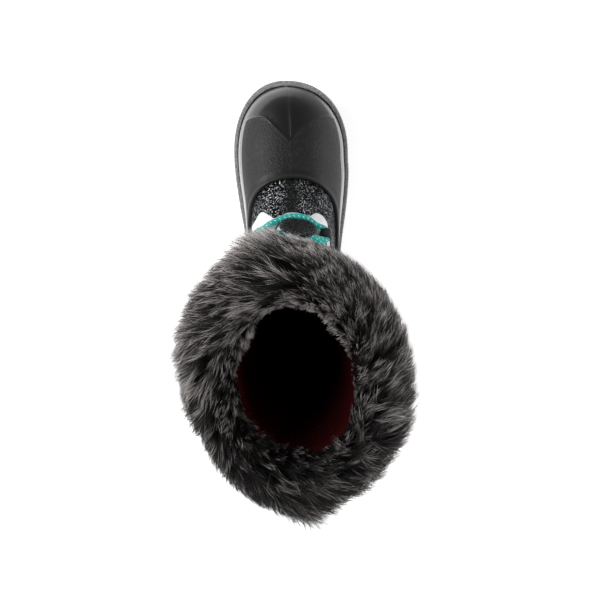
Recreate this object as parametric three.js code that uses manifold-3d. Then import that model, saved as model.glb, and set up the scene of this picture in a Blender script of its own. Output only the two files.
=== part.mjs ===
// A child's winter boot for the right foot: a lugged rubber outsole with a cup rim, a moulded rubber shell
// round the foot, an insulated textile upper with a laced throat and padded tongue, a cord lace through
// webbing loops and a keeper, an insole, and a deep fur cuff at the collar.
//
// Millimetres, +Z up. The toe points along -Y and the inner (big toe) side is +X. The origin is on the
// floor under the middle of the heel. Most sizes along the foot are given from the heel's back edge.
import * as THREE from "three";
import { mergeVertices } from "three/addons/utils/BufferGeometryUtils.js";
import Module from "manifold-3d";

// ---------- driving dimensions ----------
const SOLE_LENGTH = 248; // heel's back edge to toe tip
const HEEL_CENTRE = 36; // heel's back edge to the origin
const GAP = 0.3; // clearance between neighbouring pieces
const CUFF_GAP = 0.5; // between the cuff and the collar inside it
const SHELL_WALL = 2.4; // moulded rubber
const UPPER_WALL = 5; // fabric, insulation and fleece together
const TONGUE_WALL = 3.6;
const TONGUE_RECESS = 0.8; // padded tongue below the quarters' surface
const INSOLE_THICKNESS = 4.2;
const LACE_RADIUS = 2.4;
const LOOP_WALL = 1.1; // webbing
const LOOP_LENGTH = 8;
const SHELL_OUT = GAP + SHELL_WALL; // from the upper's surface to the shell's
const RIM_IN = SHELL_OUT + GAP; // from the upper's surface to the inside of the outsole's rim
const SIDE_INSET = RIM_IN + 2.4; // from the outsole's edge to the upper's surface
const TOE_INSET = RIM_IN + 3.6;
const HEEL_INSET = 6;
const UPPER_TOE = SOLE_LENGTH - TOE_INSET;
const BELOW = -15; // forms run down to here and are cut off at the sole

// ---------- outsole outline: half-widths from the centre line ----------
const TOE_ROUND_START = 190;
const HEEL_ROUND_END = 40;
const TOE_POWER = 2.2;
const HEEL_POWER = 2.4;
const TOE_TIP_X = 4.5; // the toe leans to the inner side
const OUTLINE = [
  { fromHeel: 40, inner: 34, outer: 34.5 },
  { fromHeel: 66, inner: 33.4, outer: 35.4 },
  { fromHeel: 96, inner: 33.6, outer: 36.8 },
  { fromHeel: 122, inner: 37, outer: 39.6 },
  { fromHeel: 141, inner: 40.4, outer: 42.3 },
  { fromHeel: 160, inner: 43.2, outer: 44.4 },
  { fromHeel: 175, inner: 45, outer: 45.2 },
  { fromHeel: 190, inner: 45.8, outer: 44.6 },
];

// ---------- the sole's heights ----------
const SOLE_SIDE = [
  { fromHeel: -4, tread: 0, base: 6, platform: 20, rim: 33 },
  { fromHeel: 30, tread: 0, base: 6, platform: 19, rim: 32 },
  { fromHeel: 74, tread: 0, base: 7, platform: 17.5, rim: 30 },
  { fromHeel: 92, tread: 4, base: 9, platform: 16.5, rim: 28.5 },
  { fromHeel: 108, tread: 0, base: 7, platform: 15.5, rim: 27.5 },
  { fromHeel: 150, tread: 0, base: 5.5, platform: 14, rim: 26 },
  { fromHeel: 195, tread: 0, base: 5.5, platform: 14, rim: 26 },
  { fromHeel: 215, tread: 1.5, base: 7, platform: 15.5, rim: 27.5 },
  { fromHeel: 235, tread: 5.5, base: 10.5, platform: 18.5, rim: 30 },
  { fromHeel: 252, tread: 10.5, base: 14.5, platform: 21.5, rim: 32 },
];

// ---------- upper: upright sections over the foot, then a fan of sections up into the shaft ----------
// ridge is the height of the vamp's centre line; crown is how much of it is rounded at the top.
const FOOT = [
  { fromHeel: UPPER_TOE, ridge: 34, crown: 14 },
  { fromHeel: UPPER_TOE - 0.6, ridge: 39, crown: 17 },
  { fromHeel: UPPER_TOE - 2.4, ridge: 44, crown: 20 },
  { fromHeel: UPPER_TOE - 6, ridge: 49.5, crown: 24 },
  { fromHeel: UPPER_TOE - 12, ridge: 54.5, crown: 28 },
  { fromHeel: UPPER_TOE - 20, ridge: 58.5, crown: 31 },
  { fromHeel: UPPER_TOE - 30, ridge: 62, crown: 34 },
  { fromHeel: UPPER_TOE - 41, ridge: 65.5, crown: 37 },
  { fromHeel: 188, ridge: 69, crown: 40 },
  { fromHeel: 175, ridge: 74, crown: 44 },
  { fromHeel: 163, ridge: 79.5, crown: 49 },
  { fromHeel: 151, ridge: 86, crown: 55 },
];
// Each fan section runs from its front point to its back point, both [from heel, height]. low and high are
// its half-widths [inner, outer] beside the heel's rounding and beside the front's.
const FAN = [
  { front: [143.5, 91.2], back: [127, BELOW], low: [32.4, 34.8], high: [34.6, 36.2], crown: 58, heel: 8 },
  { front: [138, 97], back: [102, BELOW], low: [29, 32], high: [33.2, 34.7], crown: 60, heel: 9 },
  { front: [133.4, 103.6], back: [77, BELOW], low: [27.8, 30.4], high: [32.3, 33.6], crown: 62, heel: 12 },
  { front: [129.8, 110.8], back: [52, BELOW], low: [28, 29.8], high: [32, 33], crown: 64, heel: 18 },
  { front: [127.2, 118.2], back: [27, BELOW], low: [28.5, 29.4], high: [32.2, 33], crown: 66, heel: 28 },
  { front: [125.2, 125.8], back: [7, -12], low: [28.8, 29.2], high: [32.6, 33.2], crown: 67, heel: 37 },
  { front: [123.4, 133.6], back: [HEEL_INSET - 1.2, 12], low: [29, 29.2], high: [33.2, 33.8], crown: 67, heel: 41 },
  { front: [121.6, 142.6], back: [HEEL_INSET - 1, 40], low: [29.6, 29.9], high: [34.2, 34.8], crown: 66, heel: 43 },
  { front: [119.6, 153.2], back: [7, 68], low: [30.8, 31.2], high: [35.6, 36.2], crown: 64, heel: 46 },
  { front: [117, 166], back: [7, 97], low: [33.4, 33.8], high: [37.6, 38.1], crown: 62, heel: 49 },
  { front: [114, 181], back: [3.6, 129], low: [37.4, 37.8], high: [40.4, 40.9], crown: 58, heel: 50 },
  { front: [111, 197.6], back: [-3, 162], low: [41.6, 42], high: [43.2, 43.7], crown: 56, heel: 50 },
  { front: [108.2, 215], back: [-10.6, 196], low: [45.6, 46], high: [46.2, 46.7], crown: 55, heel: 53 },
  { front: [105.5, 234], back: [-18, 229], low: [49, 49.4], high: [49, 49.4], crown: 56, heel: 55 },
  { front: [103.6, 250], back: [-22, 246], low: [50.4, 50.8], high: [50.4, 50.8], crown: 57, heel: 56 },
];
const CROWN_POWER = 2.3;
const HEEL_ROUND_POWER = 2.1;
const SHAFT_POWER = 2.08; // the crown's power at the collar
const SEGMENTS = { heel: 4, side: 2, crown: 6 }; // of each half-section
const COLLAR = { front: [105.5, 234], back: [-18, 229] };

// ---------- the shell's top edge, from the side ----------
const SHELL_EDGE = [
  { fromHeel: -12, height: 84 },
  { fromHeel: 12, height: 82 },
  { fromHeel: 34, height: 73 },
  { fromHeel: 60, height: 64 },
  { fromHeel: 95, height: 59.5 },
  { fromHeel: 128, height: 59 },
  { fromHeel: 141, height: 61.8 },
  { fromHeel: 154, height: 67.2 },
  { fromHeel: 164.5, height: 71.8 },
  { fromHeel: 172, height: 75 },
  { fromHeel: 176.5, height: 77.4 },
  { fromHeel: 180, height: 88 },
];

// ---------- throat, tongue, lacing ----------
// The slot is cut square to a line from its front end to its top end [from heel, height].
const THROAT = { front: [146, 88], top: [117, 176], halfWidth: 19.5, cornerRadius: 18, depth: 26, above: 30 };
const TONGUE_OVERLAP = 7; // under the quarters, each side
// Loops stand at these sections of the upper; inner and outer are their distances from the centre line.
const LOOPS = [
  { section: 13.9, inner: 24, outer: 22 },
  { section: 16.6, inner: 23.2, outer: 22.6 },
  { section: 18.8, inner: 22.6, outer: 22.6 },
  { section: 20.5, inner: 22.4, outer: 22.4 },
];
const BAR = [
  { section: 13.05, x: 19 },
  { section: 12.79, x: 15.6 },
  { section: 12.3, x: 8 },
  { section: 12, x: -1.6 },
  { section: 12.26, x: -10.5 },
  { section: 12.95, x: -16.6 },
];
const KEEPER = { section: 14.2, centreX: -3.4, width: 25.5, length: 27, wall: 1.7, height: 7.2 };

// ---------- fur cuff: its cross-section, out from the upper's surface and up from the collar's edge, from
// the fold inside the collar over the top and down the outside ----------
const CUFF = [
  { out: -UPPER_WALL / 2, up: -20 },
  { out: -UPPER_WALL - 3.4, up: -15 },
  { out: -UPPER_WALL - 4.4, up: 0 },
  { out: -UPPER_WALL - 1, up: 9 },
  { out: 5, up: 14 },
  { out: 15, up: 14 },
  { out: 24, up: 7 },
  { out: 29, up: -8 },
  { out: 30, up: -26 },
  { out: 26, up: -44 },
  { out: 16, up: -57 },
  { out: -UPPER_WALL / 2, up: -61 },
];
// Where the fur lies flatter or fuller, by direction in degrees from the inner side: `less` is taken off its
// greatest reach, fading over `spread`.
const CUFF_FLAT_FROM = 5;
const CUFF_REACH = 30;
const CUFF_FLATS = [
  { direction: 42, spread: 26, less: 9 },
  { direction: 93, spread: 22, less: -4 },
  { direction: 240, spread: 34, less: 5.5 },
];

const wasm = await Module();
wasm.setup();

// ---------- tables ----------
// The value of a column at x, on a smooth curve through the rows.
function along(rows, key, column, x) {
  let i = 0;
  while (i < rows.length - 2 && rows[i + 1][key] < x) i += 1;
  const slope = (k) => {
    const [a, b] = [rows[Math.max(k - 1, 0)], rows[Math.min(k + 1, rows.length - 1)]];
    const turns = (rows[k][column] - a[column]) * (b[column] - rows[k][column]) <= 0;
    return turns ? 0 : (b[column] - a[column]) / (b[key] - a[key]);
  };
  const [p, q] = [rows[i], rows[i + 1]];
  const span = q[key] - p[key];
  const u = THREE.MathUtils.clamp((x - p[key]) / span, 0, 1);
  const [u2, u3] = [u * u, u * u * u];
  return (
    (2 * u3 - 3 * u2 + 1) * p[column] +
    (u3 - 2 * u2 + u) * span * slope(i) +
    (3 * u2 - 2 * u3) * q[column] +
    (u3 - u2) * span * slope(i + 1)
  );
}

// A round end: 1 at its start and 0 at its tip.
function roundEnd(x, start, tip, power) {
  const share = THREE.MathUtils.clamp((x - start) / (tip - start), 0, 1);
  return Math.pow(1 - Math.pow(share, power), 1 / power);
}

function point(fromHeel, x, z) {
  return new THREE.Vector3(x, HEEL_CENTRE - fromHeel, z);
}

// Centre and half-widths of the outsole's outline, moved in by inset at the sides and with its own tips.
function outlineAt(fromHeel, inset = 0, toeTip = SOLE_LENGTH, heelTip = 0) {
  const share =
    roundEnd(fromHeel, TOE_ROUND_START, toeTip, TOE_POWER) *
    roundEnd(fromHeel, HEEL_ROUND_END, heelTip, HEEL_POWER);
  const t = THREE.MathUtils.clamp(fromHeel, HEEL_ROUND_END, TOE_ROUND_START);
  const atToe = fromHeel > TOE_ROUND_START ? 1 - share : 0;
  return {
    centre: TOE_TIP_X * atToe,
    inner: (along(OUTLINE, "fromHeel", "inner", t) - inset) * share,
    outer: (along(OUTLINE, "fromHeel", "outer", t) - inset) * share,
  };
}

// ---------- the upper's sections ----------
const ROWS = [
  ...FOOT.map((row) => {
    const plan = outlineAt(row.fromHeel, SIDE_INSET, UPPER_TOE, HEEL_INSET);
    return {
      frontT: row.fromHeel, frontZ: row.ridge, backT: row.fromHeel, backZ: BELOW, centre: plan.centre,
      lowIn: plan.inner, lowOut: plan.outer, highIn: plan.inner, highOut: plan.outer,
      crown: row.crown, heel: 8, power: CROWN_POWER,
    };
  }),
  ...FAN.map((row, i) => ({
    frontT: row.front[0], frontZ: row.front[1], backT: row.back[0], backZ: row.back[1], centre: 0,
    lowIn: row.low[0], lowOut: row.low[1], highIn: row.high[0], highOut: row.high[1],
    crown: row.crown, heel: row.heel,
    power: THREE.MathUtils.lerp(CROWN_POWER, SHAFT_POWER, i / (FAN.length - 1)),
  })),
].map((row, index) => ({ ...row, index }));
const COLUMNS = Object.keys(ROWS[0]).filter((name) => name !== "index");
const COLLAR_ROW = ROWS.length - 2;
const COLLAR_UP = new THREE.Vector3(
  0, COLLAR.front[1] - COLLAR.back[1], COLLAR.front[0] - COLLAR.back[0],
).normalize(); // square to the collar's plane

function sectionAt(s) {
  return Object.fromEntries(COLUMNS.map((name) => [name, along(ROWS, "index", name, s)]));
}

// A section's own place (across, up from its back point to its front point) in the part's frame.
function inSection(row, x, up) {
  const length = Math.hypot(row.frontT - row.backT, row.frontZ - row.backZ);
  const share = up / length;
  return point(
    THREE.MathUtils.lerp(row.backT, row.frontT, share),
    row.centre + x,
    THREE.MathUtils.lerp(row.backZ, row.frontZ, share),
  );
}

// A point of a half-section: turn 0 is the ridge and 1 the bottom or back; side is 1 inner, -1 outer.
function halfSection(row, turn, side) {
  const length = Math.hypot(row.frontT - row.backT, row.frontZ - row.backZ);
  const [low, high] = side > 0 ? [row.lowIn, row.highIn] : [row.lowOut, row.highOut];
  const total = SEGMENTS.heel + SEGMENTS.side + SEGMENTS.crown;
  const step = turn * total;
  if (step <= SEGMENTS.crown) {
    const angle = (step / SEGMENTS.crown) * (Math.PI / 2);
    const x = high * Math.pow(Math.sin(angle), 2 / row.power);
    return inSection(row, side * x, length - row.crown + row.crown * Math.pow(Math.cos(angle), 2 / row.power));
  }
  if (step <= SEGMENTS.crown + SEGMENTS.side) {
    const share = (step - SEGMENTS.crown) / SEGMENTS.side;
    const x = THREE.MathUtils.lerp(high, low, share);
    return inSection(row, side * x, THREE.MathUtils.lerp(length - row.crown, row.heel, share));
  }
  const angle = ((step - SEGMENTS.crown - SEGMENTS.side) / SEGMENTS.heel) * (Math.PI / 2);
  const x = low * Math.pow(Math.cos(angle), 2 / HEEL_ROUND_POWER);
  return inSection(row, side * x, row.heel - row.heel * Math.pow(Math.sin(angle), 2 / HEEL_ROUND_POWER));
}

const HALF = SEGMENTS.heel + SEGMENTS.side + SEGMENTS.crown;
const RING = 2 * HALF;
const SECTIONS = ROWS.map((row) => row.index);

// The upper's surface as rings of points. The first ring is closed up into the toe's upright edge.
const SURFACE = SECTIONS.map((s) => {
  const row = sectionAt(s);
  return Array.from({ length: RING }, (_, j) =>
    j <= HALF ? halfSection(row, j / HALF, 1) : halfSection(row, (RING - j) / HALF, -1),
  );
});

function meshSolid(vertices, triangles) {
  const flat = new Float32Array(vertices.flatMap((v) => [v.x, v.y, v.z]));
  return new wasm.Manifold(
    new wasm.Mesh({ numProp: 3, vertProperties: flat, triVerts: new Uint32Array(triangles.flat()) }),
  );
}

function surfaceIndex(i, j) {
  const around = (j + RING) % RING;
  return i === 0 ? (around <= HALF ? around : RING - around) : HALF + 1 + (i - 1) * RING + around;
}

function surfaceTriangles() {
  const triangles = [];
  for (let i = 0; i < SURFACE.length - 1; i += 1)
    for (let j = 0; j < RING; j += 1) {
      const [a, b] = [surfaceIndex(i, j), surfaceIndex(i, j + 1)];
      const [c, d] = [surfaceIndex(i + 1, j), surfaceIndex(i + 1, j + 1)];
      triangles.push([a, b, d], [a, d, c]);
    }
  return triangles;
}

const SURFACE_POINTS = [
  ...SURFACE[0].slice(0, HALF + 1),
  ...SURFACE.slice(1).flat(),
];
const SURFACE_NORMALS = (() => {
  const geometry = new THREE.BufferGeometry()
    .setFromPoints(SURFACE_POINTS)
    .setIndex(surfaceTriangles().flat());
  geometry.computeVertexNormals();
  const normals = geometry.getAttribute("normal");
  return SURFACE_POINTS.map((_, i) => new THREE.Vector3().fromBufferAttribute(normals, i));
})();

// The whole form of the upper, swollen or shrunk by offset, closed over the collar.
const forms = new Map();
function form(offset) {
  if (!forms.has(offset)) {
    const vertices = SURFACE_POINTS.map((p, i) => p.clone().addScaledVector(SURFACE_NORMALS[i], offset));
    const last = SURFACE.length - 1;
    const lid = vertices.length;
    const ring = Array.from({ length: RING }, (_, j) => vertices[surfaceIndex(last, j)]);
    vertices.push(ring.reduce((sum, p) => sum.add(p), new THREE.Vector3()).divideScalar(RING));
    const triangles = surfaceTriangles();
    for (let j = 0; j < RING; j += 1)
      triangles.push([surfaceIndex(last, j), surfaceIndex(last, j + 1), lid]);
    forms.set(offset, meshSolid(vertices, triangles));
  }
  return forms.get(offset);
}

// ---------- solids from three.js geometry ----------
function solidOf(geometry) {
  const bare = new THREE.BufferGeometry().setAttribute("position", geometry.getAttribute("position"));
  if (geometry.index) bare.setIndex(geometry.index);
  const merged = mergeVertices(bare, 1e-4);
  return new wasm.Manifold(
    new wasm.Mesh({
      numProp: 3,
      vertProperties: new Float32Array(merged.getAttribute("position").array),
      triVerts: new Uint32Array(merged.index.array),
    }),
  );
}

function extruded(outline, depth, matrix) {
  const geometry = new THREE.ExtrudeGeometry(new THREE.Shape(outline), { depth, bevelEnabled: false });
  return solidOf(geometry.applyMatrix4(matrix));
}

// A slab across the boot, from its outline [from heel, height] as seen from the side.
function sideSlab(outline, halfWidth = 120) {
  const across = new THREE.Matrix4()
    .makeBasis(new THREE.Vector3(0, 1, 0), new THREE.Vector3(0, 0, 1), new THREE.Vector3(1, 0, 0))
    .setPosition(-halfWidth, 0, 0);
  return extruded(outline.map(([t, z]) => new THREE.Vector2(HEEL_CENTRE - t, z)), 2 * halfWidth, across);
}

// An upright block from its outline [x, from heel] as seen from above.
function planBlock(outline, low, high) {
  const flat = outline.map(([x, t]) => new THREE.Vector2(x, HEEL_CENTRE - t));
  return extruded(flat, high - low, new THREE.Matrix4().makeTranslation(0, 0, low));
}

function steps(from, to, count) {
  return Array.from({ length: count + 1 }, (_, i) => from + ((to - from) * i) / count);
}

// ---------- outsole ----------
const TREAD_STEP = 12.8;
const soleHeight = (column, lift = 0) => (t) => [t, along(SOLE_SIDE, "fromHeel", column, t) + lift];

function soleBand(lower, lowerLift, upper, upperLift) {
  const stations = steps(-4, 252, 256 / TREAD_STEP);
  return sideSlab([
    ...stations.map(soleHeight(lower, lowerLift)),
    ...stations.reverse().map(soleHeight(upper, upperLift)),
  ]);
}

function outlinePoints(inset) {
  const shares = steps(0, 1, 11).map((u) => 1 - Math.cos((u * Math.PI) / 2));
  const stations = [
    ...shares.map((u) => inset + u * (HEEL_ROUND_END - inset)),
    ...steps(HEEL_ROUND_END, TOE_ROUND_START, 8).slice(1, -1),
    ...shares.map((u) => SOLE_LENGTH - inset - u * (SOLE_LENGTH - inset - TOE_ROUND_START)).reverse(),
  ];
  const plan = (t) => outlineAt(t, inset, SOLE_LENGTH - inset, inset);
  const innerSide = stations.map((t) => [plan(t).centre + plan(t).inner, t]);
  const outerSide = stations.map((t) => [plan(t).centre - plan(t).outer, t]);
  return [...innerSide, ...outerSide.reverse().slice(1, -1)];
}

const LUG_PITCH = 15.5;
const LUG_LENGTH = 10.4;
const LUG_SLANT = 5;
const CENTRE_LUG_HALF = 13;
const LUG_CHANNEL = 4;
const LUG_EDGE = 1.2; // lugs stay this far inside the outline
const ARCH = [79, 103]; // no lugs here

function lugRow(t) {
  const half = LUG_LENGTH / 2;
  const centre = [
    [0, t + half + LUG_SLANT], [CENTRE_LUG_HALF, t + half], [CENTRE_LUG_HALF, t - half],
    [0, t - half + LUG_SLANT], [-CENTRE_LUG_HALF, t - half], [-CENTRE_LUG_HALF, t + half],
  ];
  const inside = CENTRE_LUG_HALF + LUG_CHANNEL;
  const side = (sign) => [
    [sign * inside, t + half], [sign * 60, t + half - LUG_SLANT],
    [sign * 60, t - half - LUG_SLANT], [sign * inside, t - half],
  ];
  return [centre, side(1), side(-1)];
}

function outsole() {
  const plan = planBlock(outlinePoints(0), -1, 60);
  const body = plan.intersect(soleBand("base", 0, "rim", 0));
  const well = form(RIM_IN).intersect(soleBand("platform", 0, "rim", 40));
  const rows = [
    ...steps(0, 4 * LUG_PITCH, 4),
    ...steps(110, 110 + 8 * LUG_PITCH, 8),
  ].filter((t) => t < ARCH[0] || t > ARCH[1]);
  const blocks = rows.flatMap(lugRow).map((outline) => planBlock(outline, -1, 30));
  const lugs = wasm.Manifold.union(blocks)
    .intersect(planBlock(outlinePoints(LUG_EDGE), -1, 60))
    .intersect(soleBand("tread", 0, "base", 1));
  return body.subtract(well).add(lugs);
}

// ---------- shell and upper ----------
// The collar's plane from the side.
function collarAt(t, lift = 0) {
  const share = (t - COLLAR.back[0]) / (COLLAR.front[0] - COLLAR.back[0]);
  return [t, THREE.MathUtils.lerp(COLLAR.back[1], COLLAR.front[1], share) + lift];
}

function shell() {
  const stations = steps(-12, 180, 24);
  const keep = sideSlab([
    ...steps(-12, 252, 20).map(soleHeight("platform", GAP)),
    [252, 82],
    ...stations.reverse().map((t) => [t, along(SHELL_EDGE, "fromHeel", "height", t)]),
  ]);
  return form(SHELL_OUT).subtract(form(GAP)).intersect(keep);
}

// The throat as seen square on to its slope: a slot, closed in front by rounded corners.
const THROAT_FRONT = new THREE.Vector2(...THROAT.front);
const THROAT_TOP = new THREE.Vector2(...THROAT.top);
function throatBlock(extra, low) {
  const up = THROAT_TOP.clone().sub(THROAT_FRONT).normalize();
  const out = new THREE.Vector2(up.y, -up.x);
  const origin = point(THROAT_FRONT.x, 0, THROAT_FRONT.y);
  const axisUp = new THREE.Vector3(0, -up.x, up.y);
  const axisOut = new THREE.Vector3(0, -out.x, out.y);
  const matrix = new THREE.Matrix4()
    .makeBasis(new THREE.Vector3(1, 0, 0), axisUp, axisOut.clone())
    .setPosition(origin.clone().addScaledVector(axisOut, low));
  const length = THROAT_TOP.distanceTo(THROAT_FRONT);
  const [half, radius] = [THROAT.halfWidth + extra, THROAT.cornerRadius + extra];
  const corner = (side, from, to) =>
    steps(from, to, 5).map((angle) => new THREE.Vector2(
      side * (half - radius) + radius * Math.cos(angle),
      radius - extra + radius * Math.sin(angle),
    ));
  return extruded(
    [
      ...corner(1, -Math.PI / 2, 0),
      new THREE.Vector2(half, length + extra),
      new THREE.Vector2(-half, length + extra),
      ...corner(-1, Math.PI, 1.5 * Math.PI),
    ],
    THROAT.above - low,
    matrix,
  );
}

function upper() {
  const keep = sideSlab([
    ...steps(-30, 252, 20).map(soleHeight("platform", GAP)),
    collarAt(252),
    collarAt(-30),
  ]);
  return form(0)
    .subtract(form(-UPPER_WALL))
    .intersect(keep)
    .subtract(throatBlock(0, -THROAT.depth));
}

function tongue() {
  const under = form(-UPPER_WALL - GAP).subtract(form(-UPPER_WALL - GAP - TONGUE_WALL));
  const pad = form(-TONGUE_RECESS).subtract(form(-UPPER_WALL - GAP - 1));
  return under
    .intersect(throatBlock(TONGUE_OVERLAP, -THROAT.depth - 8))
    .add(pad.intersect(throatBlock(-2 * GAP, -THROAT.depth)));
}

function insole() {
  return form(-UPPER_WALL - 2 * GAP).intersect(soleBand("platform", GAP, "platform", GAP + INSOLE_THICKNESS));
}

// ---------- places on the upper ----------
// The point of section s at x from its centre line, lifted off the surface.
function onUpper(s, x, lift = 0) {
  const spot = (at, across) => {
    const row = sectionAt(at);
    const high = across > 0 ? row.highIn : row.highOut;
    const angle = Math.asin(Math.pow(Math.min(Math.abs(across) / high, 1), row.power / 2));
    const length = Math.hypot(row.frontT - row.backT, row.frontZ - row.backZ);
    return inSection(row, across, length - row.crown + row.crown * Math.pow(Math.cos(angle), 2 / row.power));
  };
  const upward = spot(s + 0.1, x).sub(spot(s - 0.1, x)).normalize();
  const across = spot(s, x + 0.5).sub(spot(s, x - 0.5)).normalize();
  const normal = new THREE.Vector3().crossVectors(across, upward).normalize();
  return { at: spot(s, x).addScaledVector(normal, lift), upward, across, normal };
}

// ---------- lace, loops and keeper ----------
const LOOP_RADIUS = LACE_RADIUS + 0.6 + LOOP_WALL;
const LOOP_LIFT = GAP + LOOP_RADIUS; // of the cord's centre inside a loop

const LOOP_MOUTH = 2.2; // from a loop's end to the near side of a cord that turns there

function loopX(row, side) {
  return side > 0 ? row.inner : -row.outer;
}

function loop(row, side) {
  const { at, upward, normal } = onUpper(row.section, loopX(row, side));
  const away = new THREE.Vector3().crossVectors(upward, normal).multiplyScalar(side);
  if (away.x * side < 0) away.negate();
  const long = new THREE.Vector3().crossVectors(away, normal);
  const matrix = new THREE.Matrix4()
    .makeBasis(away, normal, long)
    .setPosition(at.clone().addScaledVector(long, -LOOP_LENGTH / 2));
  const circle = (radius, from, to, count) =>
    steps(from, to, count).map((angle) => new THREE.Vector2(
      radius * Math.cos(angle), LOOP_LIFT + radius * Math.sin(angle),
    ));
  const tabTop = GAP + LOOP_WALL * 1.6;
  const tabEnd = LOOP_RADIUS + 8;
  const outline = [
    ...circle(LOOP_RADIUS, 0, 1.5 * Math.PI, 7),
    new THREE.Vector2(0, -4),
    new THREE.Vector2(tabEnd, -4),
    new THREE.Vector2(tabEnd, tabTop),
    new THREE.Vector2(LOOP_RADIUS, tabTop),
  ];
  const hole = circle(LOOP_RADIUS - LOOP_WALL, 0, 2 * Math.PI, 8).slice(1);
  return extruded(outline, LOOP_LENGTH, matrix)
    .subtract(extruded(hole, LOOP_LENGTH + 2, matrix.clone().multiply(
      new THREE.Matrix4().makeTranslation(0, 0, -1),
    )))
    .subtract(form(GAP));
}

function cord(points, count) {
  const round = steps(0, 2 * Math.PI, 8).slice(1).map(
    (angle) => new THREE.Vector2(LACE_RADIUS * Math.cos(angle), LACE_RADIUS * Math.sin(angle)),
  );
  return solidOf(
    new THREE.ExtrudeGeometry(new THREE.Shape(round), {
      steps: count,
      extrudePath: new THREE.CatmullRomCurve3(points, false, "centripetal"),
    }),
  );
}

// The end of a loop, where the cord comes out: forward is towards the toe.
function loopMouth(row, side, forward) {
  const { at, upward, normal } = onUpper(row.section, loopX(row, side), LOOP_LIFT);
  const reach = LOOP_LENGTH / 2 + LACE_RADIUS + LOOP_MOUTH;
  return { at: at.addScaledVector(upward, (forward ? -1 : 1) * reach), upward, normal };
}

const STRAND_LIFT = LACE_RADIUS + 0.5;
const SECTION_PITCH = 8; // between sections, along the throat

// The first bar bows forward over the throat's closed end.
function laceBar() {
  return cord(BAR.map(({ section, x }) => onUpper(section, x, STRAND_LIFT).at), 16);
}

const [MOUTH_SHARE, FAR_SHARE] = [0.36, 0.64]; // of the way between two rungs, where the cord leaves the loops
const STRAND_PULL = 0.55; // how far out the cord still is halfway to the crossing

function laceCross(index) {
  const [from, to] = [LOOPS[index], LOOPS[index + 1]];
  const [x, share] = index === 0 ? [KEEPER.centreX, MOUTH_SHARE] : [0, (MOUTH_SHARE + FAR_SHARE) / 2];
  const part = (along, across) =>
    onUpper(THREE.MathUtils.lerp(from.section, to.section, along), across, STRAND_LIFT).at;
  const strand = (side) => {
    const [start, end] = [loopMouth(from, side, false), loopMouth(to, -side, true)];
    const before = part((share + MOUTH_SHARE) / 2, loopX(from, side) * STRAND_PULL + x / 2);
    const after = part((share + FAR_SHARE) / 2, loopX(to, -side) * STRAND_PULL + x / 2);
    return cord([start.at, before, part(share, x), after, end.at], 9);
  };
  return strand(1).add(strand(-1));
}

// An oval patch over the first crossing: sewn down in front and behind, it arches over the cord between.
function keeper() {
  const [around, rings] = [24, 3];
  const face = (thickness) => (radius, angle) => {
    const up = (KEEPER.length / 2) * radius * Math.sin(angle);
    const arch = 1 - Math.pow(Math.abs(up) / (KEEPER.length / 2 + 1), 4);
    const x = KEEPER.centreX + (KEEPER.width / 2) * radius * Math.cos(angle);
    return onUpper(KEEPER.section + up / SECTION_PITCH, x, GAP + KEEPER.height * arch + thickness).at;
  };
  const angles = steps(0, 2 * Math.PI, around).slice(1);
  const layer = (make) => steps(1 / rings, 1, rings - 1).flatMap((r) => angles.map((a) => make(r, a)));
  const half = rings * around + 1;
  const vertices = [face(0), face(KEEPER.wall)].flatMap((make) => [make(0, 0), ...layer(make)]);
  const triangles = [];
  for (let j = 0; j < around; j += 1) {
    const next = (j + 1) % around;
    triangles.push([0, next + 1, j + 1], [half, half + j + 1, half + next + 1]);
    for (let i = 0; i < rings - 1; i += 1) {
      const [a, b, c, d] = [j, next, j + around, next + around].map((k) => 1 + i * around + k);
      triangles.push([a, b, d], [a, d, c], [half + a, half + d, half + b], [half + a, half + c, half + d]);
    }
    const [a, b] = [j, next].map((k) => 1 + (rings - 1) * around + k);
    triangles.push([a, b, half + b], [a, half + b, half + a]);
  }
  return meshSolid(vertices, triangles);
}

// ---------- fur cuff ----------
// The upper's surface along column j, offset, at a depth below the collar's plane.
function belowCollar(j, depth, offset) {
  const at = (i) =>
    SURFACE_POINTS[surfaceIndex(i, j)].clone().addScaledVector(SURFACE_NORMALS[surfaceIndex(i, j)], offset);
  const level = (i) => COLLAR_UP.dot(SURFACE_POINTS[surfaceIndex(i, j)]);
  const wanted = level(COLLAR_ROW) - depth;
  let i = COLLAR_ROW;
  while (level(i - 1) > wanted) i -= 1;
  return at(i).lerp(at(i - 1), (level(i) - wanted) / (level(i) - level(i - 1)));
}

// A closed ring of equal outlines, each a list of points.
function ringSolid(outlines) {
  const [n, m] = [outlines.length, outlines[0].length];
  const triangles = [];
  for (let i = 0; i < n; i += 1)
    for (let j = 0; j < m; j += 1) {
      const [a, b] = [i * m + j, i * m + ((j + 1) % m)];
      const [c, d] = [((i + 1) % n) * m + j, ((i + 1) % n) * m + ((j + 1) % m)];
      triangles.push([a, b, d], [a, d, c]);
    }
  return meshSolid(outlines.flat(), triangles);
}

// How much of the cuff's full reach is left in the direction of a point of the collar's edge.
function cuffFullness(edge, middle) {
  const direction = THREE.MathUtils.radToDeg(Math.atan2(edge.y - middle.y, edge.x - middle.x));
  const less = CUFF_FLATS.reduce((sum, flat) => {
    const away = THREE.MathUtils.euclideanModulo(direction - flat.direction + 180, 360) - 180;
    return sum + flat.less * Math.exp(-((away / flat.spread) ** 2));
  }, 0);
  return 1 - less / (CUFF_REACH - CUFF_FLAT_FROM);
}

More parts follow.
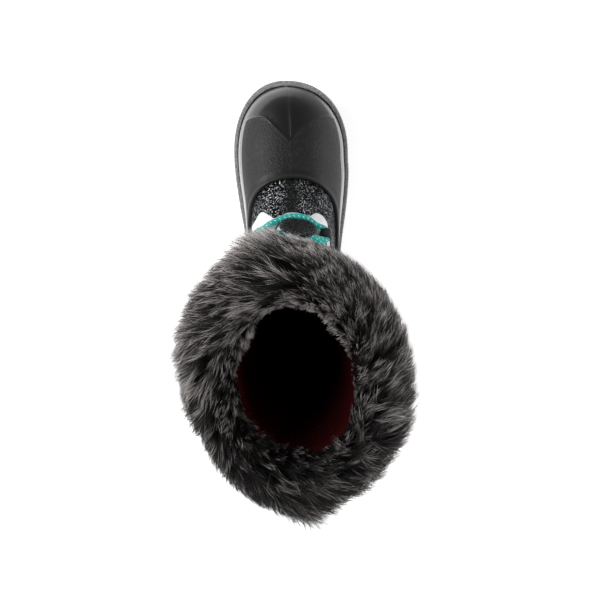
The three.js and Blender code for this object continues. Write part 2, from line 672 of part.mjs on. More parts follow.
function cuff() {
  const inside = -UPPER_WALL - CUFF_GAP;
  const edges = Array.from({ length: RING }, (_, j) => belowCollar(j, 0, 0));
  const middle = edges.reduce((sum, p) => sum.add(p), new THREE.Vector3()).divideScalar(RING);
  const [last, first] = [CUFF[CUFF.length - 1], CUFF[0]];
  const outlines = edges.map((edge, j) => {
    const fullness = cuffFullness(edge, middle);
    const reach = (out) => (out > CUFF_FLAT_FROM ? CUFF_FLAT_FROM + (out - CUFF_FLAT_FROM) * fullness : out);
    const out = SURFACE_NORMALS[surfaceIndex(COLLAR_ROW, j)].clone();
    out.addScaledVector(COLLAR_UP, -out.dot(COLLAR_UP)).normalize();
    const lean = edge.clone().sub(belowCollar(j, 12, 0)).divideScalar(12);
    const fur = CUFF.map((row) =>
      edge.clone().addScaledVector(out, reach(row.out)).addScaledVector(lean, row.up));
    const outer = steps(-last.up, 0, 3).map((depth) => belowCollar(j, depth, CUFF_GAP));
    const inner = [0, -first.up].map((depth) => belowCollar(j, depth, inside));
    for (const top of [outer[3], inner[0]])
      top.addScaledVector(COLLAR_UP, CUFF_GAP + COLLAR_UP.dot(edge) - COLLAR_UP.dot(top));
    return [...fur.slice(1, -1), ...outer, ...inner];
  });
  return ringSolid(outlines);
}

// ---------- materials ----------
const rubber = new THREE.MeshStandardMaterial({ color: 0x1d1c1c, roughness: 0.5, metalness: 0 });
const soleRubber = new THREE.MeshStandardMaterial({ color: 0x242323, roughness: 0.75, metalness: 0 });
const fabric = new THREE.MeshStandardMaterial({ color: 0xeeeef0, roughness: 0.6, metalness: 0 });
const glitter = new THREE.MeshStandardMaterial({ color: 0x121214, roughness: 0.4, metalness: 0.1 });
const cordTeal = new THREE.MeshStandardMaterial({ color: 0x12a59a, roughness: 0.6, metalness: 0 });
const blackWeb = new THREE.MeshStandardMaterial({ color: 0x18181a, roughness: 0.8, metalness: 0 });
const paleWeb = new THREE.MeshStandardMaterial({ color: 0xc4c6c4, roughness: 0.7, metalness: 0 });
const fleece = new THREE.MeshStandardMaterial({ color: 0x4a0f1c, roughness: 0.95, metalness: 0 });
const fur = new THREE.MeshStandardMaterial({ color: 0x2a2625, roughness: 0.9, metalness: 0 });

// ---------- assembly ----------
const boot = new THREE.Group();

function addPiece(name, solid, material) {
  const mesh = solid.getMesh();
  const geometry = new THREE.BufferGeometry();
  const positions = new Float32Array(mesh.numVert * 3);
  for (let i = 0; i < mesh.numVert; i += 1)
    positions.set(mesh.vertProperties.subarray(i * mesh.numProp, i * mesh.numProp + 3), i * 3);
  geometry.setAttribute("position", new THREE.BufferAttribute(positions, 3));
  geometry.setIndex(new THREE.BufferAttribute(mesh.triVerts, 1));
  geometry.computeVertexNormals();
  const piece = new THREE.Mesh(geometry, material);
  piece.name = name;
  boot.add(piece);
}

addPiece("outsole", outsole(), soleRubber);
addPiece("shell", shell(), rubber);
addPiece("upper", upper(), fabric);
addPiece("tongue", tongue(), fabric);
addPiece("insole", insole(), fleece);
addPiece("fur_cuff", cuff(), fur);
addPiece("lace_keeper", keeper(), glitter);
addPiece("lace_bar", laceBar(), cordTeal);
for (let i = 0; i < LOOPS.length - 1; i += 1) addPiece(`lace_cross_${i + 1}`, laceCross(i), cordTeal);
LOOPS.forEach((row, i) => {
  addPiece(`loop_inner_${i + 1}`, loop(row, 1), paleWeb);
  addPiece(`loop_outer_${i + 1}`, loop(row, -1), blackWeb);
});

export default boot;
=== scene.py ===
"""The finish of a child's winter boot: rubber galosh and sole band, glitter vamp, pale textile upper with a
padded tongue, fleece lining and insole, cord lace in webbing loops under a keeper, and a deep fur cuff.

The tables below repeat the boot's own sizes in millimetres; meshes are made in metres.
The toe points along -Y, the inner side is +X and the floor is z = 0.
"""
import math

import bmesh
import bpy
import numpy as np
from bpy.props import FloatProperty, FloatVectorProperty, IntProperty, PointerProperty
from mathutils import Matrix, Vector
from mathutils.bvhtree import BVHTree
from mathutils.kdtree import KDTree


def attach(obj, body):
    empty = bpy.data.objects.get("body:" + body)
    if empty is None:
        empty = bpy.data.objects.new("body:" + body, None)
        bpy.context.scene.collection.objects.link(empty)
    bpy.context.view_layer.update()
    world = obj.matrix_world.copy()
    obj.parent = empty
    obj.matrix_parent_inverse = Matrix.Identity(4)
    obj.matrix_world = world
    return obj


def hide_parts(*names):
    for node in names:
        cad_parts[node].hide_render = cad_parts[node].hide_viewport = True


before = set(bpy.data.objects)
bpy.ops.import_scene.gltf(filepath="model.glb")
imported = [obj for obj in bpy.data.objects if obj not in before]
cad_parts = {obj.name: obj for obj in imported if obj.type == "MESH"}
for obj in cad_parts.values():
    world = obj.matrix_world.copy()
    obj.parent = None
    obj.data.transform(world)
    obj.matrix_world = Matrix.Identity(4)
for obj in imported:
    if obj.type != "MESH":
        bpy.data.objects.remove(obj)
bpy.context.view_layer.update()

bl_info = {
    "name": "Winter Boot Finish",
    "version": (1, 0, 0),
    "blender": (4, 5, 0),
    "location": "View3D > Sidebar > Winter Boot",
    "description": "Makes the visible pieces of a child's fur-cuffed winter boot",
    "category": "Add Mesh",
}

MM = 0.001
GAP = 0.3
FAR = 60.0

# ---------- the boot's own sizes, in millimetres ----------
SOLE_LENGTH = 248
HEEL_CENTRE = 36
UPPER_WALL = 5
GALOSH_OUT = 2.7
SIDE_INSET = 5.4
HEEL_INSET = 6
UPPER_TOE = 241.4
BELOW = -15
TOE_ROUND_START = 190
HEEL_ROUND_END = 40
TOE_POWER = 2.2
HEEL_POWER = 2.4
TOE_TIP_X = 4.5
CROWN_POWER = 2.3
HEEL_ROUND_POWER = 2.1
SHAFT_POWER = 2.08
CROWN_STEPS, SIDE_STEPS, HEEL_STEPS = 6, 2, 4
COLLAR_SECTION = 25
COLLAR_FRONT, COLLAR_BACK = (105.5, 234), (-18, 229)

# from the heel, inner half-width, outer half-width
OUTLINE = np.array([
    (40, 34, 34.5), (66, 33.4, 35.4), (96, 33.6, 36.8), (122, 37, 39.6),
    (141, 40.4, 42.3), (160, 43.2, 44.4), (175, 45, 45.2), (190, 45.8, 44.6),
])
# from the heel, heights of tread, base, platform and rim
SOLE_SIDE = np.array([
    (-4, 0, 6, 20, 33), (30, 0, 6, 19, 32), (74, 0, 7, 17.5, 30), (92, 4, 9, 16.5, 28.5),
    (108, 0, 7, 15.5, 27.5), (150, 0, 5.5, 14, 26), (195, 0, 5.5, 14, 26), (215, 1.5, 7, 15.5, 27.5),
    (235, 5.5, 10.5, 18.5, 30), (252, 10.5, 14.5, 21.5, 32),
])
BASE, PLATFORM, RIM = 2, 3, 4
# foot sections: from the heel, ridge height, how much of it is rounded
FOOT = np.array([
    (UPPER_TOE, 34, 14), (UPPER_TOE - 0.6, 39, 17), (UPPER_TOE - 2.4, 44, 20), (UPPER_TOE - 6, 49.5, 24),
    (UPPER_TOE - 12, 54.5, 28), (UPPER_TOE - 20, 58.5, 31), (UPPER_TOE - 30, 62, 34),
    (UPPER_TOE - 41, 65.5, 37), (188, 69, 40), (175, 74, 44), (163, 79.5, 49), (151, 86, 55),
])
# shaft sections: front t, z; back t, z; half-widths low in, out; high in, out; crown; heel rounding
FAN = np.array([
    (143.5, 91.2, 127, BELOW, 32.4, 34.8, 34.6, 36.2, 58, 8),
    (138, 97, 102, BELOW, 29, 32, 33.2, 34.7, 60, 9),
    (133.4, 103.6, 77, BELOW, 27.8, 30.4, 32.3, 33.6, 62, 12),
    (129.8, 110.8, 52, BELOW, 28, 29.8, 32, 33, 64, 18),
    (127.2, 118.2, 27, BELOW, 28.5, 29.4, 32.2, 33, 66, 28),
    (125.2, 125.8, 7, -12, 28.8, 29.2, 32.6, 33.2, 67, 37),
    (123.4, 133.6, 4.8, 12, 29, 29.2, 33.2, 33.8, 67, 41),
    (121.6, 142.6, 5, 40, 29.6, 29.9, 34.2, 34.8, 66, 43),
    (119.6, 153.2, 7, 68, 30.8, 31.2, 35.6, 36.2, 64, 46),
    (117, 166, 7, 97, 33.4, 33.8, 37.6, 38.1, 62, 49),
    (114, 181, 3.6, 129, 37.4, 37.8, 40.4, 40.9, 58, 50),
    (111, 197.6, -3, 162, 41.6, 42, 43.2, 43.7, 56, 50),
    (108.2, 215, -10.6, 196, 45.6, 46, 46.2, 46.7, 55, 53),
    (105.5, 234, -18, 229, 49, 49.4, 49, 49.4, 56, 55),
    (103.6, 250, -22, 246, 50.4, 50.8, 50.4, 50.8, 57, 56),
])
# the galosh's top edge from the side: from the heel, height
GALOSH_EDGE = np.array([
    (-12, 84), (12, 82), (34, 73), (60, 64), (95, 59.5), (128, 59), (141, 61.8), (154, 67.2),
    (164.5, 71.8), (172, 75), (176.5, 77.4), (180, 88),
])
THROAT_FRONT, THROAT_TOP = (146, 88), (117, 176)
THROAT_HALF, THROAT_CORNER = 19.5, 18
TONGUE_OVERLAP = 7
# the lace: loops [section, inner x, outer x], and the first bar [section, x]
LOOPS = [(13.9, 24, -22), (16.6, 23.2, -22.6), (18.8, 22.6, -22.6), (20.5, 22.4, -22.4)]
BAR = [(13.05, 19), (12.79, 15.6), (12.3, 8), (12, -1.6), (12.26, -10.5), (12.95, -16.6)]
LACE_RADIUS = 2.4
LOOP_WALL = 1.1
LOOP_LENGTH = 8
LOOP_RADIUS = LACE_RADIUS + 0.6 + LOOP_WALL
LOOP_LIFT = GAP + LOOP_RADIUS
STRAND_LIFT = LACE_RADIUS + 0.5
KEEPER_SECTION, KEEPER_X, KEEPER_WIDTH, KEEPER_LENGTH = 14.2, -3.4, 22.5, 27
KEEPER_WALL, KEEPER_HEIGHT = 1.7, 7.2
KEEPER_TURN = 1.6  # how far its inner end lies forward and its outer end back
SECTION_PITCH = 8
# the cuff's cross-section, out from the upper and up from the collar's edge
CUFF = np.array([
    (-2.5, -20), (-8.4, -15), (-9.4, 0), (-6, 9), (5, 14), (15, 14), (24, 7), (29, -8), (30, -26),
    (26, -44), (16, -57), (-2.5, -61),
])
# where the cuff lies flatter: direction in degrees from the inner side, spread, how much less it reaches
CUFF_FLAT_FROM, CUFF_REACH = 5, 30
CUFF_FLATS = [(42, 26, 9), (93, 22, -4), (240, 34, 5.5)]
# round the cuff, from the front by the inner side: share of the way, and how far the fur stands out
FUR_STAND = np.array([
    (0, 9), (0.02, 12), (0.038, 12.5), (0.055, 9), (0.075, 7.5), (0.095, 7.5), (0.125, 9), (0.208, 9.5),
    (0.25, 6.5), (0.292, 6.5), (0.333, 6), (0.375, 6), (0.417, 6), (0.458, 6.5), (0.495, 15), (0.525, 9),
    (0.583, 8.5), (0.625, 8.5), (0.667, 10), (0.708, 9), (0.75, 8), (0.792, 8), (0.833, 7), (0.875, 6),
    (0.917, 5), (0.958, 4), (0.985, 5.5), (1, 8),
])
# and how far it reaches over the opening
FUR_INWARD = np.array([
    (0, 0.5), (0.083, 1), (0.125, 6.5), (0.167, 6.5), (0.2, 1), (0.25, 0.5), (0.333, 2.5), (0.375, 5),
    (0.417, 6), (0.458, 4.5), (0.5, 2.5), (0.54, 0.3), (0.75, 0.3), (0.79, 1.5), (0.833, 5), (0.875, 7.5),
    (0.917, 4), (0.958, 2), (1, 0.5),
])
# and where on the cuff's cross-section the lining gives way to fur
LINING_EDGE = np.array([(0, 0.05), (0.5, 0.05), (0.545, 0.115), (0.74, 0.12), (0.80, 0.06), (1, 0.05)])
# the vamp's rear edge: x from the centre line, section
VAMP_REAR = np.array([
    (-29.2, 14.2), (-28.3, 12.85), (-27.5, 12.46), (-26, 12.06), (-22.9, 11.65), (-18.2, 11.46),
    (-15.1, 11.65), (-9.7, 12.08), (0, 12.2), (13.2, 12.03), (17.1, 11.71), (23.3, 11.35),
    (30.7, 12.2), (36.6, 12.42),
])
# soft folds at the ankle and over the instep: section and turn at each end, depth, width
CREASES = [
    ((13.6, 0.40), (15.4, 0.70), 1.5, 4.0), ((15.2, 0.36), (16.6, 0.66), 1.9, 4.6),
    ((16.9, 0.38), (17.7, 0.70), 1.6, 4.4), ((18.4, 0.74), (18.6, 0.99), 1.5, 5.0),
    ((13.4, -0.38), (15.0, -0.68), 1.6, 4.2), ((15.4, -0.36), (16.7, -0.64), 1.8, 4.4),
    ((17.1, -0.36), (17.9, -0.72), 1.5, 4.6), ((18.9, -0.72), (18.7, -0.98), 1.3, 5.0),
    ((19.9, 0.34), (20.3, 0.60), 1.0, 6.0), ((20.1, -0.34), (20.4, -0.58), 1.1, 6.0),
]


# ---------- numbers ----------
def lerp(a, b, share):
    return a + (b - a) * share


def along(rows, column, x):
    """A column of a table at x, on a smooth curve through its rows."""
    keys, values = rows[:, 0], rows[:, column]
    step = np.diff(values)
    slope = np.zeros(len(keys))
    steady = step[:-1] * step[1:] > 0
    slope[1:-1] = np.where(steady, (values[2:] - values[:-2]) / (keys[2:] - keys[:-2]), 0)
    x = np.clip(x, keys[0], keys[-1])
    i = np.clip(np.searchsorted(keys, x, side="right") - 1, 0, len(keys) - 2)
    span = keys[i + 1] - keys[i]
    u = (x - keys[i]) / span
    return (
        (2 * u**3 - 3 * u**2 + 1) * values[i]
        + (u**3 - 2 * u**2 + u) * span * slope[i]
        + (3 * u**2 - 2 * u**3) * values[i + 1]
        + (u**3 - u**2) * span * slope[i + 1]
    )


def smoothstep(low, high, x):
    u = np.clip((x - low) / (high - low), 0, 1)
    return u * u * (3 - 2 * u)


def unit(v):
    length = np.linalg.norm(v, axis=-1, keepdims=True)
    return v / np.maximum(length, 1e-12)


def bell(x, middle, spread):
    """1 at the middle, dying away softly on both sides."""
    return np.exp(-(((x - middle) / spread) ** 2))


def rounded_edge(inside, radius):
    """How much of its radius a rounded edge falls back, at a distance inside that edge."""
    return 1 - np.sqrt(np.clip(1 - (1 - np.clip(inside / radius, 0, 1)) ** 2, 0, 1))


def times(colour, factor, plus=0.0):
    """A lighter or darker colour."""
    return tuple(min(1, factor * part + plus) for part in colour)


def path_length(points):
    """How far along the path each point lies."""
    return np.concatenate([[0], np.cumsum(np.linalg.norm(np.diff(points, axis=0), axis=1))])


def ring_tangent(ring):
    return unit(np.roll(ring, -1, axis=0) - np.roll(ring, 1, axis=0))


def directed_edges(faces):
    return np.vstack([faces[:, [0, 1]], faces[:, [1, 2]], faces[:, [2, 0]]])


def open_edges(faces):
    """The edges that belong to one triangle only."""
    edges, uses = np.unique(np.sort(directed_edges(faces), axis=1), axis=0, return_counts=True)
    return edges[uses == 1]


def round_end(x, start, tip, power):
    share = np.clip((x - start) / (tip - start), 0, 1)
    return (1 - share**power) ** (1 / power)


def smooth_path(points, count, closed=False):
    """A curve through the points, sampled evenly along its length."""
    points = np.asarray(points, float)
    if closed:
        padded = np.vstack([points[-1], points, points[:2]])
    else:
        padded = np.vstack([2 * points[0] - points[1], points, 2 * points[-1] - points[-2]])
    u = np.linspace(0, 1, 24, endpoint=False)[:, None]
    parts = []
    for a, b, c, d in zip(padded, padded[1:], padded[2:], padded[3:]):
        parts.append(0.5 * (2 * b + (c - a) * u + (2 * a - 5 * b + 4 * c - d) * u**2
                            + (3 * b - 3 * c + d - a) * u**3))
    line = np.vstack(parts + [points[:1] if closed else points[-1:]])
    length = path_length(line)
    wanted = np.linspace(0, length[-1], count + 1 if closed else count)
    made = np.column_stack([np.interp(wanted, length, column) for column in line.T])
    return made[:-1] if closed else made


# ---------- the last-shaped surface of the upper ----------
def outline_at(t, inset=0.0, toe_tip=SOLE_LENGTH, heel_tip=0.0):
    """Centre, inner and outer half-width of the sole's outline."""
    t = np.asarray(t, float)
    toe = round_end(t, TOE_ROUND_START, toe_tip, TOE_POWER)
    share = toe * round_end(t, HEEL_ROUND_END, heel_tip, HEEL_POWER)
    middle = np.clip(t, HEEL_ROUND_END, TOE_ROUND_START)
    centre = np.where(t > TOE_ROUND_START, TOE_TIP_X * (1 - share), 0.0)
    inner, outer = ((along(OUTLINE, column, middle) - inset) * share for column in (1, 2))
    return centre, inner, outer


def section_rows():
    """A row for each section: index, front t z, back t z, centre, low in out, high in out, crown, heel,
    power."""
    rows = []
    for t, ridge, crown in FOOT:
        centre, inner, outer = (float(v) for v in outline_at(t, SIDE_INSET, UPPER_TOE, HEEL_INSET))
        rows.append((len(rows), t, ridge, t, BELOW, centre, inner, outer, inner, outer, crown, 8, CROWN_POWER))
    for i, (ft, fz, bt, bz, li, lo, hi, ho, crown, heel) in enumerate(FAN):
        power = lerp(CROWN_POWER, SHAFT_POWER, i / (len(FAN) - 1))
        rows.append((len(rows), ft, fz, bt, bz, 0, li, lo, hi, ho, crown, heel, power))
    return np.array(rows, float)


ROWS = section_rows()
ALL_STEPS = CROWN_STEPS + SIDE_STEPS + HEEL_STEPS


def section(s):
    """Every column of the sections at s; over the foot the widths follow the outline itself."""
    columns = [along(ROWS, k, s) for k in range(1, ROWS.shape[1])]
    on_foot = s <= len(FOOT) - 1
    centre, inner, outer = outline_at(columns[0], SIDE_INSET, UPPER_TOE, HEEL_INSET)
    columns[4] = np.where(on_foot, centre, columns[4])
    for k, width in ((5, inner), (6, outer), (7, inner), (8, outer)):
        columns[k] = np.where(on_foot, width, columns[k])
    return columns


def surface(s, w):
    """Points of the upper's surface. w is 0 on the ridge, and at the back 1 round the inner side or -1 round
    the outer."""
    s, w = np.broadcast_arrays(np.asarray(s, float), np.asarray(w, float))
    ft, fz, bt, bz, centre, li, lo, hi, ho, crown, heel, power = section(s)
    low, high = np.where(w >= 0, li, lo), np.where(w >= 0, hi, ho)
    length = np.hypot(ft - bt, fz - bz)
    step = np.abs(w) * ALL_STEPS
    crown_angle = np.clip(step / CROWN_STEPS, 0, 1) * math.pi / 2
    share = np.clip((step - CROWN_STEPS) / SIDE_STEPS, 0, 1)
    heel_angle = np.clip((step - CROWN_STEPS - SIDE_STEPS) / HEEL_STEPS, 0, 1) * math.pi / 2
    heel_power = 2 / HEEL_ROUND_POWER
    sine, cosine = np.sin(crown_angle), np.abs(np.cos(crown_angle))
    x = np.where(step <= CROWN_STEPS, high * sine ** (2 / power), lerp(high, low, share))
    up = np.where(step <= CROWN_STEPS, length - crown + crown * cosine ** (2 / power),
                  lerp(length - crown, heel, share))
    at_heel = step > CROWN_STEPS + SIDE_STEPS
    x = np.where(at_heel, low * np.abs(np.cos(heel_angle)) ** heel_power, x)
    up = np.where(at_heel, heel - heel * np.sin(heel_angle) ** heel_power, up)
    along_up = up / length
    t = lerp(bt, ft, along_up)
    return np.stack([centre + np.where(w >= 0, x, -x), HEEL_CENTRE - t, lerp(bz, fz, along_up)], axis=-1)


def turn_at(s, x):
    """The turn w at which section s is x from its centre line, on the crown."""
    ft, fz, bt, bz, centre, li, lo, hi, ho, crown, heel, power = section(np.asarray(s, float))
    high = np.where(np.asarray(x) >= 0, hi, ho)
    angle = np.arcsin(np.minimum(np.abs(x) / high, 1) ** (power / 2))
    return np.sign(x) * angle / (math.pi / 2) * CROWN_STEPS / ALL_STEPS


def on_upper(s, x, lift=0.0):
    """The point of section s at x from its centre line, lifted off the surface, with its directions."""
    spot = lambda at, over: surface(at, turn_at(at, over))
    upward = unit(spot(s + 0.1, x) - spot(s - 0.1, x))
    across = unit(spot(s, x + 0.5) - spot(s, x - 0.5))
    normal = unit(np.cross(across, upward))
    return spot(s, x) + normal * np.asarray(lift)[..., None], upward, across, normal


# a cut moves a vertex that lies within this share of an edge, if no further than this many millimetres
NEAR_A_VERTEX, LONGEST_SHIFT = 0.25, 0.3


class Skin:
    """Triangles on the upper's surface. A vertex's row: place, normal, section, turn and x from the centre."""

    def __init__(self, rows, faces):
        self.rows, self.faces = rows, faces

    at = property(lambda self: self.rows[:, 0:3])
    normal = property(lambda self: unit(self.rows[:, 3:6]))
    s = property(lambda self: self.rows[:, 6])
    w = property(lambda self: self.rows[:, 7])
    x = property(lambda self: self.rows[:, 8])
    t = property(lambda self: HEEL_CENTRE - self.rows[:, 1])
    z = property(lambda self: self.rows[:, 2])

    def distance(self, value):
        """value turned into millimetres from where it is 0, by its slope on the surface."""
        a, b, c = (self.at[self.faces[:, k]] for k in range(3))
        normal = np.cross(b - a, c - a)
        area2 = np.maximum(np.linalg.norm(normal, axis=1), 1e-9)
        normal /= area2[:, None]
        va, vb, vc = (value[self.faces[:, k]] for k in range(3))
        slope = (va[:, None] * np.cross(normal, c - b) + vb[:, None] * np.cross(normal, a - c)
                 + vc[:, None] * np.cross(normal, b - a)) / area2[:, None]
        size = np.linalg.norm(slope, axis=1) * area2
        total, weight = np.zeros(len(value)), np.zeros(len(value))
        for k in range(3):
            np.add.at(total, self.faces[:, k], size)
            np.add.at(weight, self.faces[:, k], area2)
        return value / np.maximum(total / np.maximum(weight, 1e-9), 0.05)

    def border(self):
        """The vertices along the skin's open edges."""
        return np.unique(open_edges(self.faces))

    def cut(self, value):
        """Splits the triangles along value = 0, after moving the nearest inner vertices onto that line."""
        rows, faces, value = self.rows.copy(), self.faces, value.copy()
        a, b = self._crossed(faces, value)
        share = value[a] / (value[a] - value[b])
        near_a, near_b = share < NEAR_A_VERTEX, share > 1 - NEAR_A_VERTEX
        moved = np.concatenate([a[near_a], b[near_b]])
        other = np.concatenate([b[near_a], a[near_b]])
        part = np.concatenate([share[near_a], 1 - share[near_b]])
        shift = part * np.linalg.norm(self.at[moved] - self.at[other], axis=1)
        free = (shift < LONGEST_SHIFT) & ~np.isin(moved, self.border())
        moved, other, part = moved[free], other[free], part[free]
        order = np.argsort(-part)
        moved, other, part = moved[order], other[order], part[order][:, None]
        rows[moved] = self.rows[moved] * (1 - part) + self.rows[other] * part
        value[moved] = 0
        a, b = self._crossed(faces, value)
        share = (value[a] / (value[a] - value[b]))[:, None]
        count = len(rows)
        rows = np.vstack([rows, rows[a] * (1 - share) + rows[b] * share])
        keys = a * count + b
        order = np.argsort(keys)
        sorted_keys, new = keys[order], count + order
        value = np.concatenate([value, np.zeros(len(a))])

        def middle(p, q):
            key = np.minimum(p, q) * count + np.maximum(p, q)
            return new[np.searchsorted(sorted_keys, key)]

        signs = np.sign(value[faces])
        crossing = np.stack([signs[:, k] * signs[:, (k + 1) % 3] < 0 for k in range(3)], axis=1)
        kinds = crossing.sum(axis=1)
        one, two = faces[kinds == 1], faces[kinds == 2]
        first = np.argmax(crossing[kinds == 1], axis=1)
        p, q, r = (np.take_along_axis(one, ((first + k) % 3)[:, None], 1)[:, 0] for k in range(3))
        m = middle(p, q)
        parts = [faces[kinds == 0], np.stack([p, m, r], 1), np.stack([m, q, r], 1)]
        lone = (np.argmin(crossing[kinds == 2], axis=1) + 2) % 3
        p, q, r = (np.take_along_axis(two, ((lone + k) % 3)[:, None], 1)[:, 0] for k in range(3))
        m, n = middle(p, q), middle(r, p)
        parts += [np.stack([p, m, n], 1), np.stack([m, q, r], 1), np.stack([m, r, n], 1)]
        return Skin(rows, np.vstack(parts)), value

    @staticmethod
    def _crossed(faces, value):
        edges = np.unique(np.sort(directed_edges(faces), axis=1), axis=0)
        crossed = value[edges[:, 0]] * value[edges[:, 1]] < 0
        return edges[crossed, 0], edges[crossed, 1]

    def kept(self, value):
        """What lies where value is positive, without unused vertices."""
        skin, value = self.cut(value)
        faces = skin.faces[(value[skin.faces] >= -1e-9).all(axis=1) & (value[skin.faces].max(axis=1) > 1e-9)]
        return Skin.trimmed(skin.rows, faces)

    @classmethod
    def trimmed(cls, rows, faces):
        """A skin of the faces with only the rows that they use."""
        used = np.unique(faces)
        index = np.zeros(len(rows), int)
        index[used] = np.arange(len(used))
        return cls(rows[used], index[faces])

    def lines(self, field, levels):
        """Adds edges along several levels of a field that is worked out again after each cut."""
        skin = self
        for level in levels:
            skin, _ = skin.cut(field(skin) - level)
        return skin


SKINS = {}


def whole_skin(fine=True):
    """The upper's whole surface to the collar: grid rows for each section, and columns round it."""
    if fine in SKINS:
        return SKINS[fine]
    steps = [4] * 7 + [5, 8, 8, 7, 7] + [6] * 14 if fine else [2] * 12 + [3] * 14
    s = [i + np.arange(n) / n for i, n in enumerate(steps[:COLLAR_SECTION])]
    s = np.concatenate([*s, [COLLAR_SECTION]])
    counts = (26, 16, 14) if fine else (12, 7, 7)
    bounds = np.array([0, CROWN_STEPS, CROWN_STEPS + SIDE_STEPS, ALL_STEPS]) / ALL_STEPS
    half = [np.linspace(low, high, n, endpoint=False) for low, high, n in zip(bounds, bounds[1:], counts)]
    beside_ridge = [0.0021, 0.0046] if fine else []
    half = np.sort(np.concatenate([*half, [1], beside_ridge]))
    around = np.concatenate([half, -half[1:-1][::-1]])
    n, m = len(s), len(around)
    grid = surface(s[:, None], around[None, :])
    index = np.arange(n * m).reshape(n, m)
    index[0, len(half):] = index[0, 1:len(half) - 1][::-1]
    nxt = np.roll(index, -1, axis=1)
    a, b, c, d = index[:-1], nxt[:-1], index[1:], nxt[1:]
    faces = np.concatenate([np.stack([a, b, d], -1).reshape(-1, 3), np.stack([a, d, c], -1).reshape(-1, 3)])
    whole = (faces[:, 0] != faces[:, 1]) & (faces[:, 1] != faces[:, 2]) & (faces[:, 2] != faces[:, 0])
    faces = faces[whole]
    points = grid.reshape(-1, 3)
    corner = [points[faces[:, k]] for k in range(3)]
    facing = np.cross(corner[1] - corner[0], corner[2] - corner[0])
    normal = np.zeros_like(points)
    for k in range(3):
        np.add.at(normal, faces[:, k], facing)
    centre = section(s)[4][:, None] + np.zeros((1, m))
    rows = np.column_stack([
        points, unit(normal), np.repeat(s, m), np.tile(around, n), points[:, 0] - centre.ravel(),
    ])
    SKINS[fine] = Skin.trimmed(rows, faces)
    return SKINS[fine]


def skin_above_sole(rise=0.5):
    """The upper's surface from a little above the sole's platform."""
    skin = whole_skin()
    return skin.kept(skin.z - along(SOLE_SIDE, PLATFORM, skin.t) - rise)


CREASE_SAMPLES, CREASE_BOW, RIDGE_SHARE = 33, 0.35, 0.45


def fold_relief(skin):
    """How far the soft ankle and instep folds move the textile in or out."""
    relief = np.zeros(len(skin.rows))
    for (s0, w0), (s1, w1), depth, width in CREASES:
        share = np.linspace(0, 1, CREASE_SAMPLES)
        bow = CREASE_BOW * np.sin(share * math.pi)
        line = surface(lerp(s0, s1, share) + bow, lerp(w0, w1, share))
        away = np.linalg.norm(skin.at[:, None, :] - line[None], axis=2)
        nearest = away.argmin(axis=1)
        distance = away.min(axis=1)
        strength = np.sin(math.pi * np.clip(share[nearest] * 0.8 + 0.1, 0, 1))
        relief += depth * strength * (RIDGE_SHARE * bell(distance, 2 * width, width) - bell(distance, 0, width))
    return relief


def up_the_throat(skin):
    """Millimetres up the throat's slope from its front end, and the slope's whole length."""
    front, top = np.array(THROAT_FRONT, float), np.array(THROAT_TOP, float)
    up = unit(top - front)
    return (skin.t - front[0]) * up[0] + (skin.z - front[1]) * up[1], float(np.linalg.norm(top - front))


def throat_distance(skin):
    """Millimetres outside the throat's slot, seen square on to its slope; far from it at the back."""
    up, length = up_the_throat(skin)
    x = np.abs(skin.rows[:, 0])
    dx, dup = x - (THROAT_HALF - THROAT_CORNER), THROAT_CORNER - up
    rounded = np.hypot(np.maximum(dx, 0), np.maximum(dup, 0)) - THROAT_CORNER
    box = np.maximum(np.maximum(x - THROAT_HALF, -up), np.where(dup > 0, rounded, -FAR))
    box = np.maximum(box, up - length)
    return np.where(np.abs(skin.w) < 0.5, box, FAR)


# ---------- meshes ----------
def new_piece(name, points, faces, materials, smooth_angle, uv=None, replaces=()):
    """A piece at the origin from points in millimetres. uv is [layer, values at the points, period]."""
    mesh = bpy.data.meshes.new(name)
    mesh.from_pydata((np.asarray(points) * MM).tolist(), [], [list(map(int, f)) for f in faces])
    mesh.validate()
    mesh.update()
    mesh.shade_smooth()
    if smooth_angle < 180:
        mesh.set_sharp_from_angle(angle=math.radians(smooth_angle))
    if uv:
        layer_name, at_points, period = uv
        layer = mesh.uv_layers.new(name=layer_name)
        corners, starts = np.zeros(len(mesh.loops), np.int32), np.zeros(len(mesh.polygons), np.int32)
        mesh.loops.foreach_get("vertex_index", corners)
        mesh.polygons.foreach_get("loop_start", starts)
        values = np.asarray(at_points, np.float32)[corners]
        # a face that crosses from the map's end back to its start is carried on past the end
        sizes = np.diff(np.append(starts, len(corners)))
        low, high = (np.repeat(f.reduceat(values[:, 0], starts), sizes) for f in (np.minimum, np.maximum))
        crossing = (high - low > period / 2) & (values[:, 0] < high - period / 2)
        values[:, 0] += np.where(crossing, period, 0)
        layer.data.foreach_set("uv", values.ravel())
    for material in materials:
        mesh.materials.append(material)
    return add_piece(name, mesh, replaces)


def add_object(name, data):
    made = bpy.data.objects.new(name, data)
    bpy.context.scene.collection.objects.link(made)
    return made


def add_piece(name, mesh, replaces=()):
    """An object of a finished mesh, riding on the boot's one body, with its slot and what it replaces."""
    piece = add_object(name, mesh)
    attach(piece, "root")
    if replaces:
        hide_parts(*replaces)
    return piece


def point_value(piece, name, values):
    """A number for each vertex, which the piece's material reads."""
    attribute = piece.data.attributes.new(name, "FLOAT", "POINT")
    attribute.data.foreach_set("value", np.asarray(values, np.float32))


def wall_values(piece, **values):
    """Values for a piece made by walled, the same outside and inside."""
    for name, at_points in values.items():
        point_value(piece, name, np.tile(at_points, 2))


